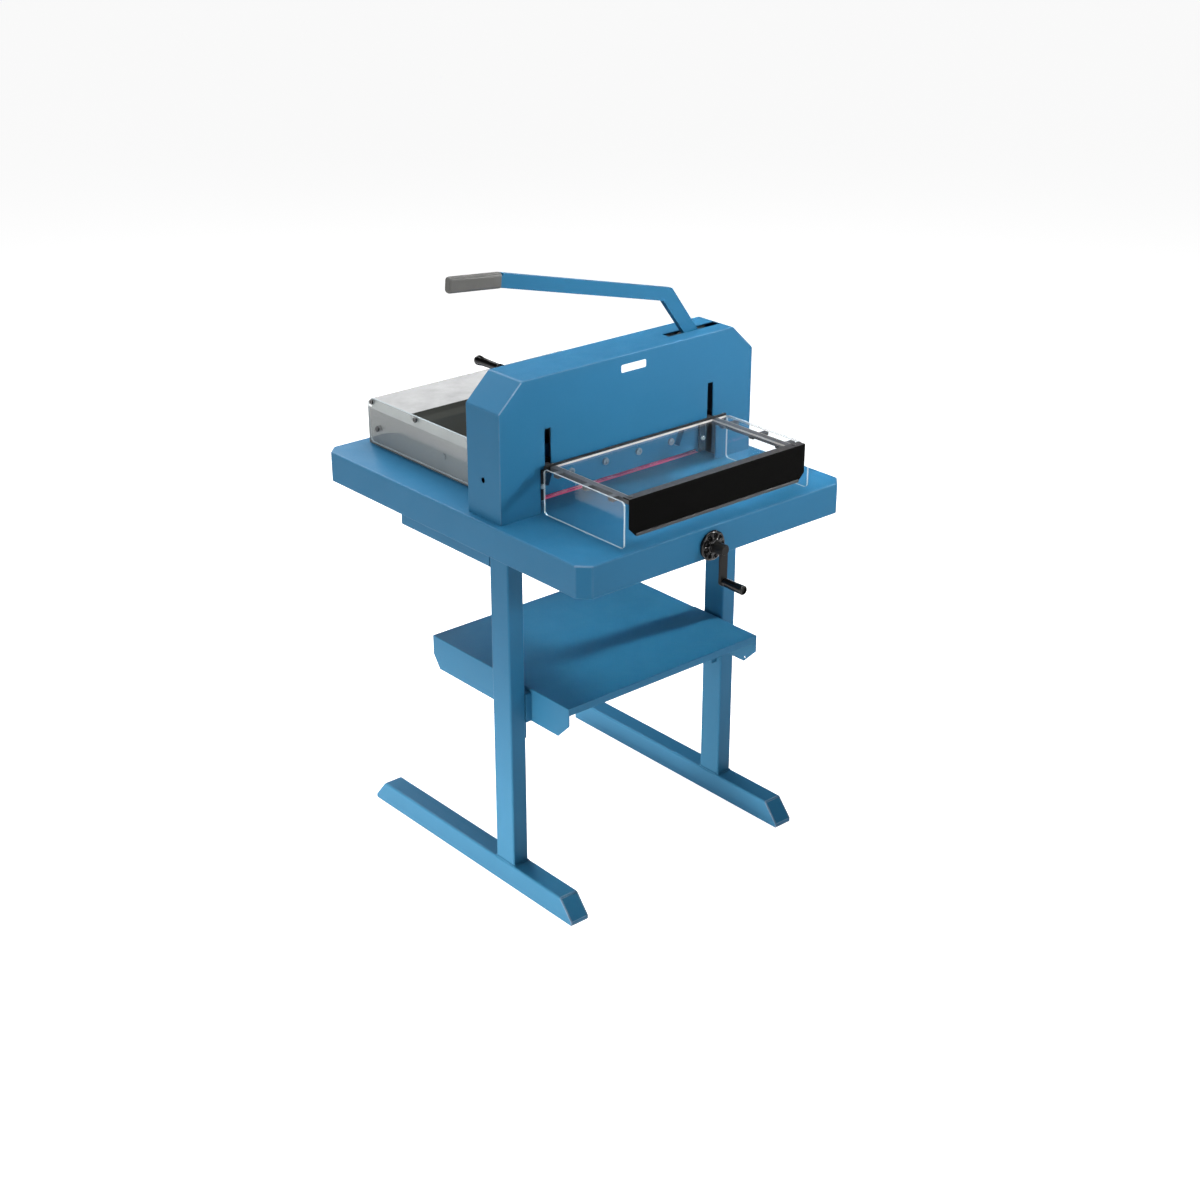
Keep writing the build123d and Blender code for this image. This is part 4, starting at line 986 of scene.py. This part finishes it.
leg_low, leg_high = (drawn(corner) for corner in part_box("legs"))
foot_high = drawn(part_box("foot_tubes")[1])
LEG_WIDE = 36.5
FOOT_TOP = foot_high[2]
ACROSS_R, ALONG_R = 2.6, 1.9
bm = bmesh.new()
for outer, side in ((leg_low[0], 1), (leg_high[0], -1)):
    x0, x1 = sorted((outer, outer + side * LEG_WIDE))
    y0, y1 = leg_low[1], leg_high[1]
    for y in (y0, y1):
        bead(bm, (x0 - 1, y, FOOT_TOP + 0.6), (x1 + 1, y, FOOT_TOP + 0.6), ACROSS_R)
    for x in (x0, x1):
        bead(bm, (x, y0 + 2, FOOT_TOP + 0.4), (x, y1 - 2, FOOT_TOP + 0.4), ALONG_R)
finish_mesh("leg_welds", bm, [paint], "frame", "blue_paint")

# ---------------------------------------------------------------- stage
floor_bm = bmesh.new()
bmesh.ops.create_grid(floor_bm, x_segments=1, y_segments=1, size=60.0)
floor_mesh = bpy.data.meshes.new("floor")
floor_bm.to_mesh(floor_mesh)
floor_bm.free()
floor = bpy.data.objects.new("floor", floor_mesh)
bpy.context.scene.collection.objects.link(floor)
FLOOR_GLOW = 0.92
floor_look = Shader("floor_paper")
floor_mesh.materials.append(
    floor_look.surface(
        (0.60, 0.60, 0.60),
        0.9,
        Specular_IOR_Level=0.1,
        Emission_Color=(1.0, 1.0, 1.0, 1.0),
        Emission_Strength=FLOOR_GLOW,
    )
)

world = bpy.data.worlds.new("studio")
bpy.context.scene.world = world
world.use_nodes = True
tree = world.node_tree
sky = tree.nodes["Background"]
sky.inputs["Color"].default_value = (1.0, 1.0, 1.0, 1.0)
spot = tree.nodes.new("ShaderNodeTexCoord")
split = tree.nodes.new("ShaderNodeSeparateXYZ")
fade = tree.nodes.new("ShaderNodeMapRange")
tree.links.new(spot.outputs["Generated"], split.inputs["Vector"])
tree.links.new(split.outputs["Z"], fade.inputs["Value"])
tree.links.new(fade.outputs["Result"], sky.inputs["Strength"])
# a bright band at the horizon that fades to a dim sky, by the height of a direction
HORIZON_GLOW = 0.95
SKY_GLOW = 0.04
FADE_START, FADE_END = 0.02, 0.12
fade.inputs["From Min"].default_value = FADE_START
fade.inputs["From Max"].default_value = FADE_END
fade.inputs["To Min"].default_value = HORIZON_GLOW
fade.inputs["To Max"].default_value = SKY_GLOW


def softbox(name, place, target, size, power, spread, tint=(1.0, 1.0, 1.0)):
    """Area light of a size (width, height) in metres aimed at a point, its beam limited in degrees."""
    lamp = bpy.data.lights.new(name, "AREA")
    lamp.shape = "RECTANGLE"
    lamp.size, lamp.size_y = size
    lamp.energy = power
    lamp.color = tint
    lamp.spread = math.radians(spread)
    holder = bpy.data.objects.new(name, lamp)
    bpy.context.scene.collection.objects.link(holder)
    holder.location = place
    holder.rotation_mode = "QUATERNION"
    holder.rotation_quaternion = (Vector(target) - Vector(place)).to_track_quat("-Z", "Y")
    return holder


# name, place, target, size, power, beam in degrees and tint
softbox("top_light", (0.2, 0.4, 4.0), (0.0, 0.0, 0.8), (3.0, 3.0), 125.0, 130)
softbox("right_front_light", (2.6, -3.2, 2.4), (0.1, 0.0, 1.06), (0.8, 0.8), 3.3, 15)
softbox("front_light", (-0.6, -4.0, 2.6), (0.1, 0.0, 1.1), (1.4, 1.2), 3.6, 26)
softbox("left_light", (-3.6, 0.8, 2.6), (0.0, 0.0, 0.8), (2.0, 2.0), 16.0, 90)
softbox("rear_light", (0.6, 4.0, 2.8), (0.0, 0.0, 0.8), (2.4, 2.0), 46.0, 90)
softbox("left_low_light", (-2.3, 0.2, 0.14), (0.0, 0.1, 0.08), (2.4, 0.2), 13.0, 26, (1.0, 0.62, 0.50))
softbox("left_mid_light", (-2.9, 0.1, 0.55), (0.0, 0.0, 0.42), (1.6, 0.4), 2.6, 30, (0.76, 0.74, 0.70))
softbox("right_shelf_light", (2.6, -0.35, 1.95), (0.0, -0.08, 0.43), (0.5, 0.5), 2.2, 15)

# ---------------------------------------------------------------- camera
CAMERA_PLACE = (MID_X - 2.2885, MID_Y - 2.7185, 2.1028)
CAMERA_TILT, CAMERA_TURN = 65.557, -40.739
LENS = 57.9
view_data = bpy.data.cameras.new("camera")
view_data.sensor_width = 36.0
view_data.lens = LENS
view_data.clip_start, view_data.clip_end = 0.05, 200.0
camera = bpy.data.objects.new("camera", view_data)
bpy.context.scene.collection.objects.link(camera)
camera.location = CAMERA_PLACE
camera.rotation_euler = Euler((math.radians(CAMERA_TILT), 0.0, math.radians(CAMERA_TURN)), "XYZ")
bpy.context.scene.camera = camera
bpy.context.scene.view_settings.view_transform = "Standard"
